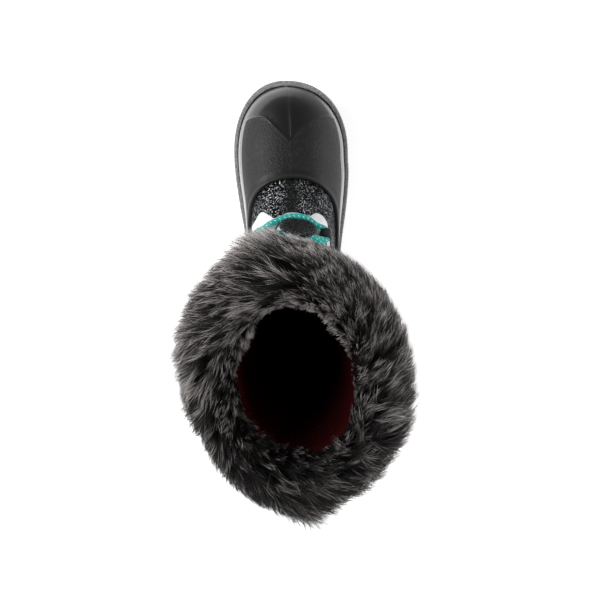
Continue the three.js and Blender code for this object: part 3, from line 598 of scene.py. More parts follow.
def walled(skin, outer, inner):
    """Points and faces of a wall between two offsets of a skin, closed along its edges."""
    count = len(skin.rows)
    points = np.vstack([skin.at + skin.normal * np.broadcast_to(outer, count)[:, None],
                        skin.at + skin.normal * np.broadcast_to(inner, count)[:, None]])
    edges = directed_edges(skin.faces)
    forward, backward = edges[:, 0] * count + edges[:, 1], edges[:, 1] * count + edges[:, 0]
    a, b = edges[~np.isin(forward, backward)].T
    rim = np.vstack([np.stack([b, a, a + count], 1), np.stack([b, a + count, b + count], 1)])
    return points, np.vstack([skin.faces, skin.faces[:, ::-1] + count, rim])


def ring_faces(n, m, wrap_n=True, wrap_m=True):
    """Quads of an n by m grid of points, joined up where it wraps."""
    i = np.arange(n if wrap_n else n - 1)[:, None]
    j = np.arange(m if wrap_m else m - 1)[None, :]
    a, b = i * m + j, i * m + (j + 1) % m
    c, d = ((i + 1) % n) * m + j, ((i + 1) % n) * m + (j + 1) % m
    return np.stack([a, b, d, c], -1).reshape(-1, 4)


def tube(path, normals, radii, sides):
    """A closed tube along a path. radii are [across, along the normal] at each point."""
    tangent = unit(np.gradient(path, axis=0))
    across = unit(np.cross(tangent, normals))
    up = unit(np.cross(across, tangent))
    angle = np.linspace(0, 2 * math.pi, sides, endpoint=False)
    ring = (across[:, None] * (radii[:, 0, None, None] * np.cos(angle)[None, :, None])
            + up[:, None] * (radii[:, 1, None, None] * np.sin(angle)[None, :, None]))
    points = (path[:, None] + ring).reshape(-1, 3)
    n = len(path)
    faces = [list(f) for f in ring_faces(n, sides, wrap_n=False)]
    faces.append(list(range(sides))[::-1])
    faces.append([(n - 1) * sides + k for k in range(sides)])
    return points, faces


# ---------- materials ----------
# cells or waves to a metre
PEBBLES, FLAKES, RIBS, CURLS, HAIRS, TWISTS = 900, 1150, 1500, 420, 500, 2500
YARN = 0.00055  # metres


def add_node(tree, kind, settings=None, sockets=None):
    """A node in a tree: its settings first, then a value or link for each socket."""
    node = tree.nodes.new(kind)
    for key, value in (settings or {}).items():
        setattr(node, key, value)
    for key, value in (sockets or {}).items():
        if isinstance(value, bpy.types.NodeSocket):
            tree.links.new(value, node.inputs[key])
        else:
            node.inputs[key].default_value = value
    return node


class Value:
    """A shader value. Arithmetic on it adds Math nodes."""

    def __init__(self, finish, socket):
        self.finish, self.socket = finish, socket

    def _math(self, operation, a, b=0.0):
        return self.finish.node("ShaderNodeMath", {"operation": operation}, {0: a, 1: b})

    def __add__(self, other):
        return self._math("ADD", self, other)

    def __sub__(self, other):
        return self._math("SUBTRACT", self, other)

    def __rsub__(self, other):
        return self._math("SUBTRACT", other, self)

    def __mul__(self, other):
        return self._math("MULTIPLY", self, other)

    def __mod__(self, other):
        return self._math("FRACT", self * (1 / other)) * other

    __radd__, __rmul__ = __add__, __mul__

    def wave(self, period=1.0):
        return self._math("SINE", self * (2 * math.pi / period))

    def between(self, low, high):
        """0 below low and 1 above high, with soft ends."""
        sockets = {"Value": self, "From Min": low, "From Max": high}
        return self.finish.node("ShaderNodeMapRange", {"interpolation_type": "SMOOTHSTEP"}, sockets)


class Finish:
    """A material under construction, on one Principled BSDF."""

    def __init__(self, name, **constants):
        self.material = bpy.data.materials.new(name)
        self.material.use_nodes = True
        self.tree = self.material.node_tree
        self.tree.nodes.clear()
        self.shader = add_node(self.tree, "ShaderNodeBsdfPrincipled")
        add_node(self.tree, "ShaderNodeOutputMaterial", None, {0: self.shader.outputs[0]})
        self.place = self.node("ShaderNodeTexCoord", out="Object")
        for key, value in constants.items():
            self.shader.inputs[key.replace("_", " ")].default_value = value

    def node(self, kind, settings=None, sockets=None, out=0):
        """Any other node, as the value of one of its outputs."""
        sockets = {key: getattr(value, "socket", value) for key, value in (sockets or {}).items()}
        return Value(self, add_node(self.tree, kind, settings, sockets).outputs[out])

    def vector(self, operation, sockets):
        return self.node("ShaderNodeVectorMath", {"operation": operation}, sockets)

    def feed(self, **sockets):
        for key, value in sockets.items():
            self.tree.links.new(value.socket, self.shader.inputs[key.replace("_", " ")])

    def map(self, layer):
        return self.node("ShaderNodeUVMap", {"uv_map": layer})

    def value_of(self, name):
        return self.node("ShaderNodeAttribute", {"attribute_name": name}, out="Fac")

    def parts(self, vector):
        split = add_node(self.tree, "ShaderNodeSeparateXYZ", None, {0: vector.socket})
        return [Value(self, socket) for socket in split.outputs]

    def noise(self, scale, detail, roughness=0.55):
        sockets = {"Vector": self.place, "Scale": scale, "Detail": detail, "Roughness": roughness}
        return self.node("ShaderNodeTexNoise", None, sockets)

    def cells(self, scale, out="Distance"):
        return self.node("ShaderNodeTexVoronoi", {"feature": "F1"}, {"Vector": self.place, "Scale": scale}, out)

    def mix(self, share, a, b):
        """From colour a to colour b."""
        a, b = (colour if isinstance(colour, Value) else (*colour, 1) for colour in (a, b))
        return self.node("ShaderNodeMix", {"data_type": "RGBA", "blend_type": "MIX"}, {0: share, 6: a, 7: b}, 2)

    def bump(self, height, depth, strength, **under):
        sockets = {"Height": height, "Distance": depth, "Strength": strength, **under}
        return self.node("ShaderNodeBump", None, sockets)


def rubber_finish(name, colours, roughness, shaped):
    """Moulded rubber with a pebbled grain: all over, or on a shaped piece only where its own values say."""
    finish = Finish(name, IOR=1.5, Specular_IOR_Level=0.4, Coat_Roughness=0.16)
    grain, gloss, wear = 1.0, 0.2, 0.0
    if shaped:
        grain, gloss, wear = (finish.value_of(value) for value in ("grain", "gloss", "wear"))
        finish.feed(Coat_Weight=gloss)
    pebble, coarse = finish.cells(PEBBLES), finish.noise(340, 2)
    cloud = finish.noise(28, 4)
    fleck = (1 - pebble.between(0.05, 0.62)) * coarse.between(0.38, 0.62)
    # wear: a painted highlight, a pale line along the foot of the galosh's lip
    tone = fleck * 0.75 * grain + cloud.between(0.3, 0.75) * (0.05 + 0.12 * grain) + wear
    height = (1 - pebble.between(0.0, 0.7)) * grain + coarse * 0.25 * grain + finish.noise(90, 3) * 0.12
    finish.feed(
        Base_Color=finish.mix(tone, colours.rubber, colours.rubber_light),
        Roughness=roughness + 0.08 * cloud - 0.10 * fleck * grain + (0.2 - 0.2 * gloss),
        Normal=finish.bump(height, 0.00022, 0.8),
    )
    return finish.material


def band_finish(name, side, valley, grain_top, roughness):
    """The sole's raised band: dark on its sides and worn to a pale speckle over its top."""
    finish = Finish(name, IOR=1.5, Specular_IOR_Level=0.4)
    top, speck = finish.value_of("grain"), finish.cells(PEBBLES)
    cloud = finish.noise(60, 4)
    pale = finish.mix(1 - speck.between(0.1, 0.65), valley, grain_top)
    finish.feed(
        Base_Color=finish.mix(top * (0.75 + 0.25 * cloud), side, pale),
        Roughness=roughness + 0.15 * cloud,
        Normal=finish.bump(1 - speck.between(0.0, 0.7), 0.0002, 0.7),
    )
    return finish.material


def glitter_finish(name, colour, spark):
    """Coarse black glitter: small flakes lying at random, most dark and some bright."""
    finish = Finish(name, IOR=1.5, Specular_IOR_Level=0.16)
    flake, edge = finish.cells(FLAKES, "Color"), finish.cells(FLAKES)
    tilt = finish.vector("SCALE", {0: finish.vector("SUBTRACT", {0: flake, 1: (0.5, 0.5, 0.5)}), "Scale": 1.5})
    facing = finish.node("ShaderNodeNewGeometry", out="Normal")
    normal = finish.vector("NORMALIZE", {0: finish.vector("ADD", {0: facing, 1: tilt})})
    red, green, blue = finish.parts(flake)
    amount = finish.value_of("sparkle")
    bright = red.between(0.30, 0.92) * (1 - edge.between(0.32, 0.6))
    cluster = finish.noise(70, 2).between(0.3, 0.65)
    finish.feed(
        Base_Color=finish.mix(bright * (0.35 + 0.65 * cluster) * amount, colour, spark),
        Metallic=(0.05 + 0.9 * green.between(0.30, 0.55)) * amount,
        Roughness=0.24 + 0.3 * blue + 0.15 * (1 - amount),
        Normal=finish.bump(1 - edge.between(0.1, 0.8), 0.00018, 0.6, Normal=normal),
    )
    return finish.material


def cloth_finish(name, colour, shade, clean=None):
    """A plain close weave with slightly uneven yarns, cleaner and creased where the piece's values say."""
    finish = Finish(name, IOR=1.45, Specular_IOR_Level=0.3, Sheen_Weight=0.15, Sheen_Roughness=0.4)
    u, v, _ = finish.parts(finish.map("cloth"))
    weave = u.wave(2 * YARN) * v.wave(2 * YARN) * 0.5 + 0.5
    cloud = finish.noise(60, 4)
    tone = finish.mix(weave * 0.35 + cloud.between(0.35, 0.7) * 0.18, colour, shade)
    if clean:
        # painted light: the fabric is painted lighter where clean says, beside the throat
        tone = finish.mix(finish.value_of("clean"), tone, clean)
        # painted shade: darker in the hollows of the folds
        tone = finish.mix(finish.value_of("crease") * 0.30, tone, times(shade, 0.5))
    finish.feed(
        Base_Color=tone,
        Roughness=0.8 + 0.12 * cloud,
        Normal=finish.bump(weave + 0.4 * cloud, 0.00012, 0.7),
    )
    return finish.material


def webbing_finish(name, colour, shade):
    """Narrow ribbed webbing."""
    finish = Finish(name, IOR=1.45, Specular_IOR_Level=0.35)
    yarn, cloud = finish.cells(RIBS), finish.noise(220, 3)
    finish.feed(
        Base_Color=finish.mix(yarn.between(0.2, 0.7) * 0.6 + cloud * 0.2, colour, shade),
        Roughness=0.72 + 0.15 * cloud,
        Normal=finish.bump(1 - yarn.between(0.0, 0.8), 0.00015, 0.8),
    )
    return finish.material


def lace_finish(name, colour, deep, fleck):
    """Round braided cord with a pale fleck worked into it at every other pick."""
    finish = Finish(name, IOR=1.45, Specular_IOR_Level=0.35, Sheen_Weight=0.2)
    u, v, _ = finish.parts(finish.map("cord"))
    strands, picks = u * 6, v * 0.55  # round the cord, and along it to a millimetre
    braid = (strands + picks).wave() * (strands - picks).wave() * 0.5 + 0.5
    cell_u = (strands + v * 0.275) % 1.0 - 0.5
    cell_v = (v * 0.275) % 1.0 - 0.5
    spot = 1 - (cell_u * cell_u * 9 + cell_v * cell_v * 7).between(0.12, 0.40)
    body = finish.mix(braid.between(0.15, 0.8), deep, colour)
    finish.feed(
        Base_Color=finish.mix(spot, body, fleck),
        Roughness=0.62 + 0.1 * braid,
        Normal=finish.bump(braid + 0.5 * spot, 0.00035, 0.9),
    )
    return finish.material


def fleece_finish(name, colour, deep):
    """Short curly fleece pile."""
    finish = Finish(name, IOR=1.4, Specular_IOR_Level=0.05)
    curl, pile = finish.cells(CURLS), finish.noise(700, 5, 0.7)
    patch = finish.noise(45, 3)
    tone = (1 - curl.between(0.1, 0.8)) * 0.5 + pile * 0.3 + patch.between(0.35, 0.7) * 0.25
    # painted light: up to four times lighter towards the inner side (+X)
    inner_side = finish.parts(finish.place)[0].between(-0.01, 0.035)
    bright = finish.mix(inner_side, colour, times(colour, 4))
    finish.feed(
        Base_Color=finish.mix(tone, deep, bright),
        Roughness=0.88 + 0.1 * pile,
        Normal=finish.bump((1 - curl.between(0.0, 0.8)) + pile * 0.8, 0.0009, 1.0),
    )
    return finish.material


def fur_finish(name, root, middle, tip):
    """Long fur: dark at the root, and as pale at the tip as the strand's tint says."""
    finish = Finish(name, IOR=1.5, Specular_IOR_Level=0.35)
    tint, share, _ = finish.parts(finish.map("strand"))
    pale = tint.between(0.34, 0.80)
    shading = finish.mix(share.between(0.25, 0.85) * (0.2 + 0.8 * tint), root, middle)
    frost = share.between(0.30, 0.90) * pale
    finish.feed(
        Base_Color=finish.mix(frost, shading, tip),
        Roughness=0.55 - 0.15 * pale * share,
    )
    return finish.material


def pelt_finish(name, colour, shade):
    """The fur's dark backing, seen only between strands."""
    finish = Finish(name, IOR=1.4, Specular_IOR_Level=0.1)
    hair = finish.noise(HAIRS, 5, 0.7)
    finish.feed(
        Base_Color=finish.mix(hair.between(0.3, 0.8), colour, shade),
        Roughness=0.9 + 0.08 * hair,
        Normal=finish.bump(hair, 0.0006, 1.0),
    )
    return finish.material


def thread_finish(name, colour):
    finish = Finish(name, IOR=1.45, Specular_IOR_Level=0.3)
    twist = finish.noise(TWISTS, 2)
    tone = finish.mix(twist * 0.5, colour, times(colour, 1.6, 0.01))
    finish.feed(Base_Color=tone, Roughness=0.6 + 0.2 * twist)
    return finish.material


def floor_finish(colour):
    finish = Finish("floor_finish", Specular_IOR_Level=0.1, Emission_Strength=0.72)
    cloud = finish.noise(3, 2)
    tone = finish.mix(cloud * 0.3, colour, times(colour, 0.97))
    finish.feed(Base_Color=tone, Emission_Color=tone, Roughness=0.85 + 0.05 * cloud)
    return finish.material


# ---------- sizes and colours that a user would change ----------
def colour(name, description, default):
    return FloatVectorProperty(
        name=name, description=description, default=default, subtype="COLOR", size=3, min=0, max=1)


class BootColours(bpy.types.PropertyGroup):
    """Colours of the boot's finishes."""

    rubber: colour("Rubber", "Galosh and sole", (0.0055, 0.0050, 0.0049))
    rubber_light: colour("Rubber grain", "High points of the rubber's grain", (0.022, 0.020, 0.019))
    band: colour("Sole band", "Raised band round the sole's top", (0.60, 0.59, 0.58))
    fabric: colour("Fabric", "Quarters and tongue", (0.60, 0.60, 0.61))
    # painted light: lighter fabric for the quarters beside the throat and for the tongue
    fabric_painted_light: colour("Lit fabric", "Quarters beside the throat, and tongue", (0.87, 0.87, 0.87))
    fabric_shade: colour("Fabric shade", "Between the fabric's yarns", (0.44, 0.44, 0.465))
    glitter: colour("Glitter", "Dark flakes of vamp and keeper", (0.0032, 0.0032, 0.0038))
    spark: colour("Spark", "Bright flakes", (0.86, 0.90, 0.94))
    lace: colour("Lace", "The cord", (0.010, 0.600, 0.545))
    lace_fleck: colour("Lace fleck", "Pale yarn in the cord", (0.62, 0.88, 0.86))
    lining: colour("Lining", "Fleece lining and insole", (0.042, 0.0026, 0.0035))
    pale_web: colour("Pale webbing", "Inner loops", (0.42, 0.44, 0.42))
    black_web: colour("Black webbing", "Outer loops", (0.010, 0.010, 0.011))
    fur_root: colour("Fur root", "Fur near the skin", (0.0018, 0.0015, 0.0014))
    fur_middle: colour("Fur middle", "Fur halfway", (0.016, 0.0125, 0.011))
    fur_tip: colour("Fur tip", "Palest fur tips", (0.80, 0.74, 0.72))
    floor: colour("Floor", "The plain pale floor", (0.92, 0.92, 0.92))


def distance(name, description, default):
    return FloatProperty(name=name, description=description, default=default, unit="LENGTH", subtype="DISTANCE")


class BootSizes(bpy.types.PropertyGroup):
    """Sizes of what is added around the boot's frame."""

    fur_length: distance("Fur length", "Of the longest strands", 0.026)
    fur_width: distance("Strand width", "Of a strand at its thickest", 0.00034)
    tufts: IntProperty(name="Tufts", description="Tufts of fur on the cuff", default=3900, min=100)
    strands: IntProperty(name="Strands", description="In each tuft", default=11, min=3)
    stitch_pitch: distance("Stitch pitch", "From stitch to stitch", 0.0030)
    stitch_radius: distance("Thread radius", "Of the sewing thread", 0.00028)
    floor_size: distance("Floor size", "Side of the square floor", 6.0)


# ---------- stitches, by geometry nodes ----------
def stitch_tree():
    """Capsule stitches along a curve: set at the pitch, turned along it, realised and given a material."""
    tree = bpy.data.node_groups.get("stitches")
    if tree:
        return tree
    tree = bpy.data.node_groups.new("stitches", "GeometryNodeTree")
    inputs = (("Seam", "Geometry"), ("Pitch", "Float"), ("Length", "Float"), ("Radius", "Float"),
              ("Thread", "Material"))
    for name, kind in inputs:
        tree.interface.new_socket(name=name, in_out="INPUT", socket_type="NodeSocket" + kind)
    tree.interface.new_socket(name="Stitches", in_out="OUTPUT", socket_type="NodeSocketGeometry")
    given = add_node(tree, "NodeGroupInput").outputs

    def made(kind, sockets=None, **settings):
        return add_node(tree, kind, settings, sockets).outputs[0]

    seam, pitch, length, radius, thread = (given[name] for name, _ in inputs)
    points = made("GeometryNodeResampleCurve", {"Curve": seam, "Length": pitch}, mode="LENGTH")
    size = made("ShaderNodeCombineXYZ", {0: radius, 1: radius, 2: length})
    capsule = made("GeometryNodeMeshUVSphere", {"Segments": 6, "Rings": 5, "Radius": 1.0})
    along_seam = made("GeometryNodeInputTangent")
    turn = made("FunctionNodeAlignRotationToVector", {"Vector": along_seam}, axis="Z")
    placed = made("GeometryNodeInstanceOnPoints",
                  {"Points": points, "Instance": capsule, "Rotation": turn, "Scale": size})
    real = made("GeometryNodeRealizeInstances", {0: placed})
    painted = made("GeometryNodeSetMaterial", {"Geometry": real, "Material": thread})
    add_node(tree, "NodeGroupOutput", None, {0: painted})
    return tree


STITCH_SHARE = 0.36  # a stitch's half length, of the pitch


def sew(name, seams, thread, sizes):
    """One mesh of stitches along several seams, each a list of points in millimetres."""
    curve = bpy.data.curves.new(name + "_seam", "CURVE")
    curve.dimensions = "3D"
    for seam in seams:
        spline = curve.splines.new("POLY")
        spline.points.add(len(seam) - 1)
        spline.points.foreach_set("co", np.column_stack([np.asarray(seam) * MM, np.ones(len(seam))]).ravel())
    holder = add_object(name + "_seam", curve)
    modifier = holder.modifiers.new("stitches", "NODES")
    modifier.node_group = stitch_tree()
    given = {"Pitch": sizes.stitch_pitch, "Length": sizes.stitch_pitch * STITCH_SHARE,
             "Radius": sizes.stitch_radius, "Thread": bpy.data.materials[thread]}
    for item in modifier.node_group.interface.items_tree:
        if item.in_out == "INPUT" and item.name in given:
            modifier[item.identifier] = given[item.name]
    mesh = bpy.data.meshes.new_from_object(holder.evaluated_get(bpy.context.evaluated_depsgraph_get()))
    bpy.data.objects.remove(holder)
    mesh.name = name
    mesh.shade_smooth()
    return add_piece(name, mesh)


# ---------- galosh and sole ----------
# the front of the grained lobes: x from the centre line, from the heel
LOBE_FRONT = np.array([
    (-42, 196), (-38, 207), (-33.5, 215.8), (-29.1, 218.9), (-23.9, 219.5), (-18.7, 218.7), (-10.5, 214.2),
    (-5.1, 208.1), (0.4, 202), (5.5, 206), (12.7, 213.7), (17.6, 218.7), (24.1, 219.8), (30.1, 218.4),
    (34.9, 214.1), (39, 206), (43, 195),
])
GRAIN_TURN, GRAIN_TURN_MM = 0.36, 150  # the grain's last turn down the sides, and millimetres to a turn
GRAIN_PROUD, BEAD_PROUD, PARTING_PROUD = 0.35, 0.13, 0.2
LIP_WIDTH, LIP_PROUD, LIP_ROUNDING = 2.7, 0.42, 1.3
GRAIN_FROM_LIP = 3.6
PAINTED_HIGHLIGHT = 0.8  # how much a painted highlight lightens the lip's foot, and its spread in millimetres
REACH = 30  # regions are worked out this many millimetres either side of their edge


def galosh_edge(skin):
    """Millimetres inside the galosh's top edge."""
    return skin.distance(np.clip(along(GALOSH_EDGE, 1, skin.t) - skin.z, -REACH, REACH))


ABOVE_THE_SOLE = 45
SMOOTHING_PASSES, PLACES_ON_EDGE = 8, 10


def edge_line(skin):
    """Smooths the galosh's cut top edge, and makes a finder of the nearest place on it."""
    edges = open_edges(skin.faces)
    a, b = edges[skin.z[edges].mean(axis=1) > ABOVE_THE_SOLE].T
    ends, others = np.concatenate([a, b]), np.concatenate([b, a])
    order = np.argsort(ends, kind="stable")
    ends, others = ends[order][::2], others[order].reshape(-1, 2)
    for _ in range(SMOOTHING_PASSES):
        before, after = skin.at[others[:, 0]], skin.at[others[:, 1]]
        tangent = unit(after - before)
        move = 0.25 * (before + after) - 0.5 * skin.at[ends]
        skin.rows[ends, 0:3] += move - tangent * (move * tangent).sum(axis=1, keepdims=True)
    places = np.concatenate([lerp(skin.at[a], skin.at[b], k / PLACES_ON_EDGE) for k in range(PLACES_ON_EDGE)])
    finder = KDTree(len(places))
    for i, place in enumerate(places):
        finder.insert(place, i)
    finder.balance()
    return finder


def grain_region(skin):
    """Millimetres inside the two grained lobes, which meet in a notch over the toes."""
    ahead = skin.distance(np.clip(along(LOBE_FRONT, 1, skin.x) - skin.t, -REACH, REACH))
    beside = (GRAIN_TURN - np.abs(skin.w)) * GRAIN_TURN_MM
    return np.minimum(ahead, beside)


def make_galosh(colours):
    skin = skin_above_sole()
    skin = skin.kept(galosh_edge(skin))
    finder = edge_line(skin)
    inside_edge = lambda skin: np.array([finder.find(place)[2] for place in skin.at])
    skin = skin.lines(inside_edge, (0.4, 1.0, LIP_WIDTH - 0.6, LIP_WIDTH, LIP_WIDTH + 0.6))
    skin = skin.lines(grain_region, (-0.45, 0, 0.45, 0.9))
    edge, turn = inside_edge(skin), np.abs(skin.w)
    grain = np.minimum(grain_region(skin), edge - LIP_WIDTH - GRAIN_FROM_LIP)
    lip = LIP_PROUD * (1 - smoothstep(LIP_WIDTH - 0.6, LIP_WIDTH + 0.6, edge))
    lip -= LIP_ROUNDING * rounded_edge(edge, 1)
    parting = bell(skin.x, 0, 0.55) * (0.12 + PARTING_PROUD * smoothstep(203, 206, skin.t))
    parting *= (turn < 0.7) * smoothstep(LIP_WIDTH + 1, LIP_WIDTH + 3, edge)
    relief = lip + GRAIN_PROUD * smoothstep(-0.3, 0.5, grain) + BEAD_PROUD * bell(grain, 0.25, 0.4) + parting
    points, faces = walled(skin, GALOSH_OUT + relief, GAP)
    material = rubber_finish("rubber_finish", colours, 0.26, shaped=True)
    piece = new_piece("galosh", points, faces, [material], 50, replaces=("shell",))
    grained = smoothstep(0.4, 1.1, grain)
    # glossiest on the inner side of the toe, and along both sides
    on_top, beside = 0.75 * smoothstep(-15, 10, skin.x), 1 - 0.75 * smoothstep(0.47, 0.56, turn)
    gloss = lerp(on_top, beside, smoothstep(0.30, 0.40, turn))
    gloss *= (1 - grained) * smoothstep(LIP_WIDTH + 3, LIP_WIDTH + 9, edge)
    # the pale line along the lip's foot is a painted highlight
    wall_values(piece, grain=grained, gloss=gloss, wear=PAINTED_HIGHLIGHT * bell(edge, LIP_WIDTH, PAINTED_HIGHLIGHT))


def sole_outline(count):
    """Points [x, t] round the sole's outline with their outward directions."""
    half = count // 4
    ends = 1 - np.cos(np.linspace(0, math.pi / 2, half))
    stations = np.concatenate([ends * HEEL_ROUND_END, np.linspace(HEEL_ROUND_END, TOE_ROUND_START, half)[1:-1],
                               (SOLE_LENGTH - ends * (SOLE_LENGTH - TOE_ROUND_START))[::-1]])
    centre, inner, outer = outline_at(stations)
    right, left = (np.column_stack([x, stations]) for x in (centre + inner, centre - outer))
    ring = smooth_path(np.vstack([right, left[::-1][1:-1]]), count, closed=True)
    tangent = ring_tangent(ring)
    return ring, np.column_stack([tangent[:, 1], -tangent[:, 0]])


# the band's outside from the base up: out from the outline, height as a share of the wall, plus millimetres
BAND = [(0.3, 0.02, 0), (0.5, 0.05, 0), (0.7, 0.12, 0), (0.7, 0.30, 0), (0.3, 0.335, 0), (0.3, 0.365, 0),
        (0.7, 0.40, 0), (0.7, 0.58, 0), (0.3, 0.615, 0), (0.3, 0.645, 0), (0.7, 0.68, 0), (0.75, 0.86, 0),
        (0.75, 0.95, 0), (0.6, 1, -0.1), (0.35, 1, 0.28), (0.0, 1, 0.42)]
# its top inward to the galosh: share of the way, height from the rim
BAND_TOP = [(0.35, 0.42), (0.80, 0.40), (0.87, -0.3), (0.92, -0.6), (0.96, -0.6), (1.0, -0.5)]
BAND_POINTS = 320
BAND_PALE = slice(11, 20)  # the layers of both that are worn pale
FARTHEST_GALOSH, USUAL_GALOSH = 12, 2.5


def make_sole(colours):
    """A smooth band round the sole and over its rim; the frame's own sole keeps its tread."""
    tread = rubber_finish("tread_finish", colours, 0.55, shaped=False)
    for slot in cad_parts["outsole"].material_slots:
        slot.material = tread
    side, valley = times(colours.rubber_light, 0.4), times(colours.band, 0.46)
    material = band_finish("band_finish", side, valley, colours.band, 0.5)
    ring, out = sole_outline(BAND_POINTS)
    t = ring[:, 1]
    base, rim = along(SOLE_SIDE, BASE, t), along(SOLE_SIDE, RIM, t)
    skin = whole_skin()
    tree = BVHTree.FromPolygons((skin.at + skin.normal * GALOSH_OUT).tolist(), skin.faces.tolist())
    reach = []
    for (x, at), (ox, ot), height in zip(ring, out, rim):
        hit = tree.ray_cast(Vector((x, HEEL_CENTRE - at, height)), Vector((-ox, ot, 0)), FARTHEST_GALOSH)
        reach.append(hit[3] if hit[0] else USUAL_GALOSH)
    reach = np.convolve(np.tile(reach, 3), np.ones(5) / 5, "same")[len(reach):2 * len(reach)] - 0.2
    wall = rim - base
    layers = [(ring + out * d, base + wall * share + plus) for d, share, plus in BAND]
    layers += [(ring - out * (reach * share)[:, None], rim + plus) for share, plus in BAND_TOP]
    # and back underneath, hidden in the frame's sole
    layers += [(ring - out * reach[:, None], rim - 3), (ring - out, rim - 4), (ring - out, base + 0.5)]
    grid = np.stack([np.column_stack(layer) for layer in layers], axis=1)
    points = np.stack([grid[..., 0], HEEL_CENTRE - grid[..., 1], grid[..., 2]], -1).reshape(-1, 3)
    piece = new_piece("sole_band", points, ring_faces(len(ring), len(layers)), [material], 55)
    turn_outward(piece)
    pale = np.zeros(len(layers))
    pale[BAND_PALE] = 1
    point_value(piece, "grain", np.tile(pale, len(ring)))


def turn_outward(piece):
    """Faces out, on a closed mesh."""
    work = bmesh.new()
    work.from_mesh(piece.data)
    bmesh.ops.recalc_face_normals(work, faces=work.faces)
    work.to_mesh(piece.data)
    work.free()


# ---------- textile ----------
CLOTH_ROUND, CLOTH_ALONG = 0.4, 0.012


def cloth_map(skin):
    """The cloth's map on both sides of a walled skin, in metres round the section and along the boot."""
    values = np.column_stack([skin.w * CLOTH_ROUND / 2, skin.s * CLOTH_ALONG])
    return "cloth", np.tile(values, (2, 1)), CLOTH_ROUND


STRIP_HEIGHT = 6


def vamp_region(skin):
    """Millimetres inside the glitter vamp, whose rear edge dips twice under the quarters' tips."""
    rear = along(VAMP_REAR, 1, skin.x)
    front = skin.distance(np.clip((rear - skin.s) * SECTION_PITCH, -REACH, REACH))
    below_edge = along(GALOSH_EDGE, 1, skin.t) - skin.z
    strip = skin.distance(np.clip(below_edge + STRIP_HEIGHT, -REACH, REACH))
    # the strip over the galosh's edge fades in along both sides, further back on the inner one
    outer_side = smoothstep(150, 132, skin.t) * (skin.x <= 0)
    inner_side = smoothstep(104, 90, skin.t) * (skin.x > 0)
    strip -= 2 * STRIP_HEIGHT * (1 - np.maximum(outer_side, inner_side))
    on_top = np.where(np.abs(skin.w) < 0.47, front, -REACH)
    return np.maximum(on_top, np.where(skin.s > 11.5, strip, -REACH))


def textile_relief(skin):
    """The folds, dying away at the throat and at the galosh's edge."""
    return fold_relief(skin) * smoothstep(0, 10, throat_distance(skin)) * smoothstep(-4, -14, galosh_edge(skin))


LINING_OUT = -UPPER_WALL + 1.1


def make_upper(colours):
    fabric = cloth_finish("fabric_finish", colours.fabric, colours.fabric_shade, colours.fabric_painted_light)
    skin = skin_above_sole()
    skin = skin.kept(throat_distance(skin))
    skin = skin.lines(throat_distance, (0.5, 1.3))
    relief = textile_relief(skin)
    rounding = 1.2 * rounded_edge(throat_distance(skin), 1.3)
    points, faces = walled(skin, relief - rounding, LINING_OUT)
    piece = new_piece("quarters", points, faces, [fabric], 50, cloth_map(skin), ("upper",))
    # painted light: the quarters beside the throat are painted lighter
    clean = smoothstep(14.6, 12.8, skin.s) * smoothstep(40, 30, np.abs(skin.x))
    # painted shade in the folds' hollows, from how deep the folds sink
    wall_values(piece, clean=clean, crease=np.clip(-relief / 1.6, 0, 1))


def make_vamp(colours):
    material = glitter_finish("glitter_finish", colours.glitter, colours.spark)
    skin = skin_above_sole()
    skin = skin.kept(12 - galosh_edge(skin))
    skin = skin.kept(vamp_region(skin))
    skin = skin.kept(throat_distance(skin) - 0.6)
    above, relief = -galosh_edge(skin), textile_relief(skin)
    ridge = bell(above, 3.6, 0.9) * (skin.x < 0) * (skin.s < 13)
    # full thickness outside the galosh, and thin under it and along its own edge
    full = (1 - smoothstep(-1.5, 0.5, -above)) * smoothstep(0, 0.8, vamp_region(skin))
    points, faces = walled(skin, 0.27 + 0.45 * full + relief + 0.35 * ridge, 0.03 + relief)
    piece = new_piece("vamp", points, faces, [material], 50)
    dark_middle = bell(skin.x, 0.5, 5.5) * (skin.s < 14)
    sparkle = 0.75 + 0.25 * bell(skin.x, 14, 10) - 0.95 * dark_middle + 0.4 * ridge
    wall_values(piece, sparkle=np.clip(sparkle, 0.05, 1))


def make_lining(colours):
    """The fleece lining, and the footbed and the tongue, which it lines too."""
    fleece = fleece_finish("fleece_finish", colours.lining, times(colours.lining, 0.35))
    skin = skin_above_sole(0.7)
    skin = skin.kept(throat_distance(skin) - 0.8)
    points, faces = walled(skin, LINING_OUT - 0.25, -UPPER_WALL)
    new_piece("lining", points, faces, [fleece], 60)
    make_insole(fleece)
    make_tongue(colours, fleece)


# the footbed: from the lining and the platform, thickness, how much its edge rises, the height of its girth
BED_GAP, BED_THICK, BED_CUP, BED_GIRTH = 0.4, 3.6, 1.2, 2.5
BED_GRID = (60, 17)


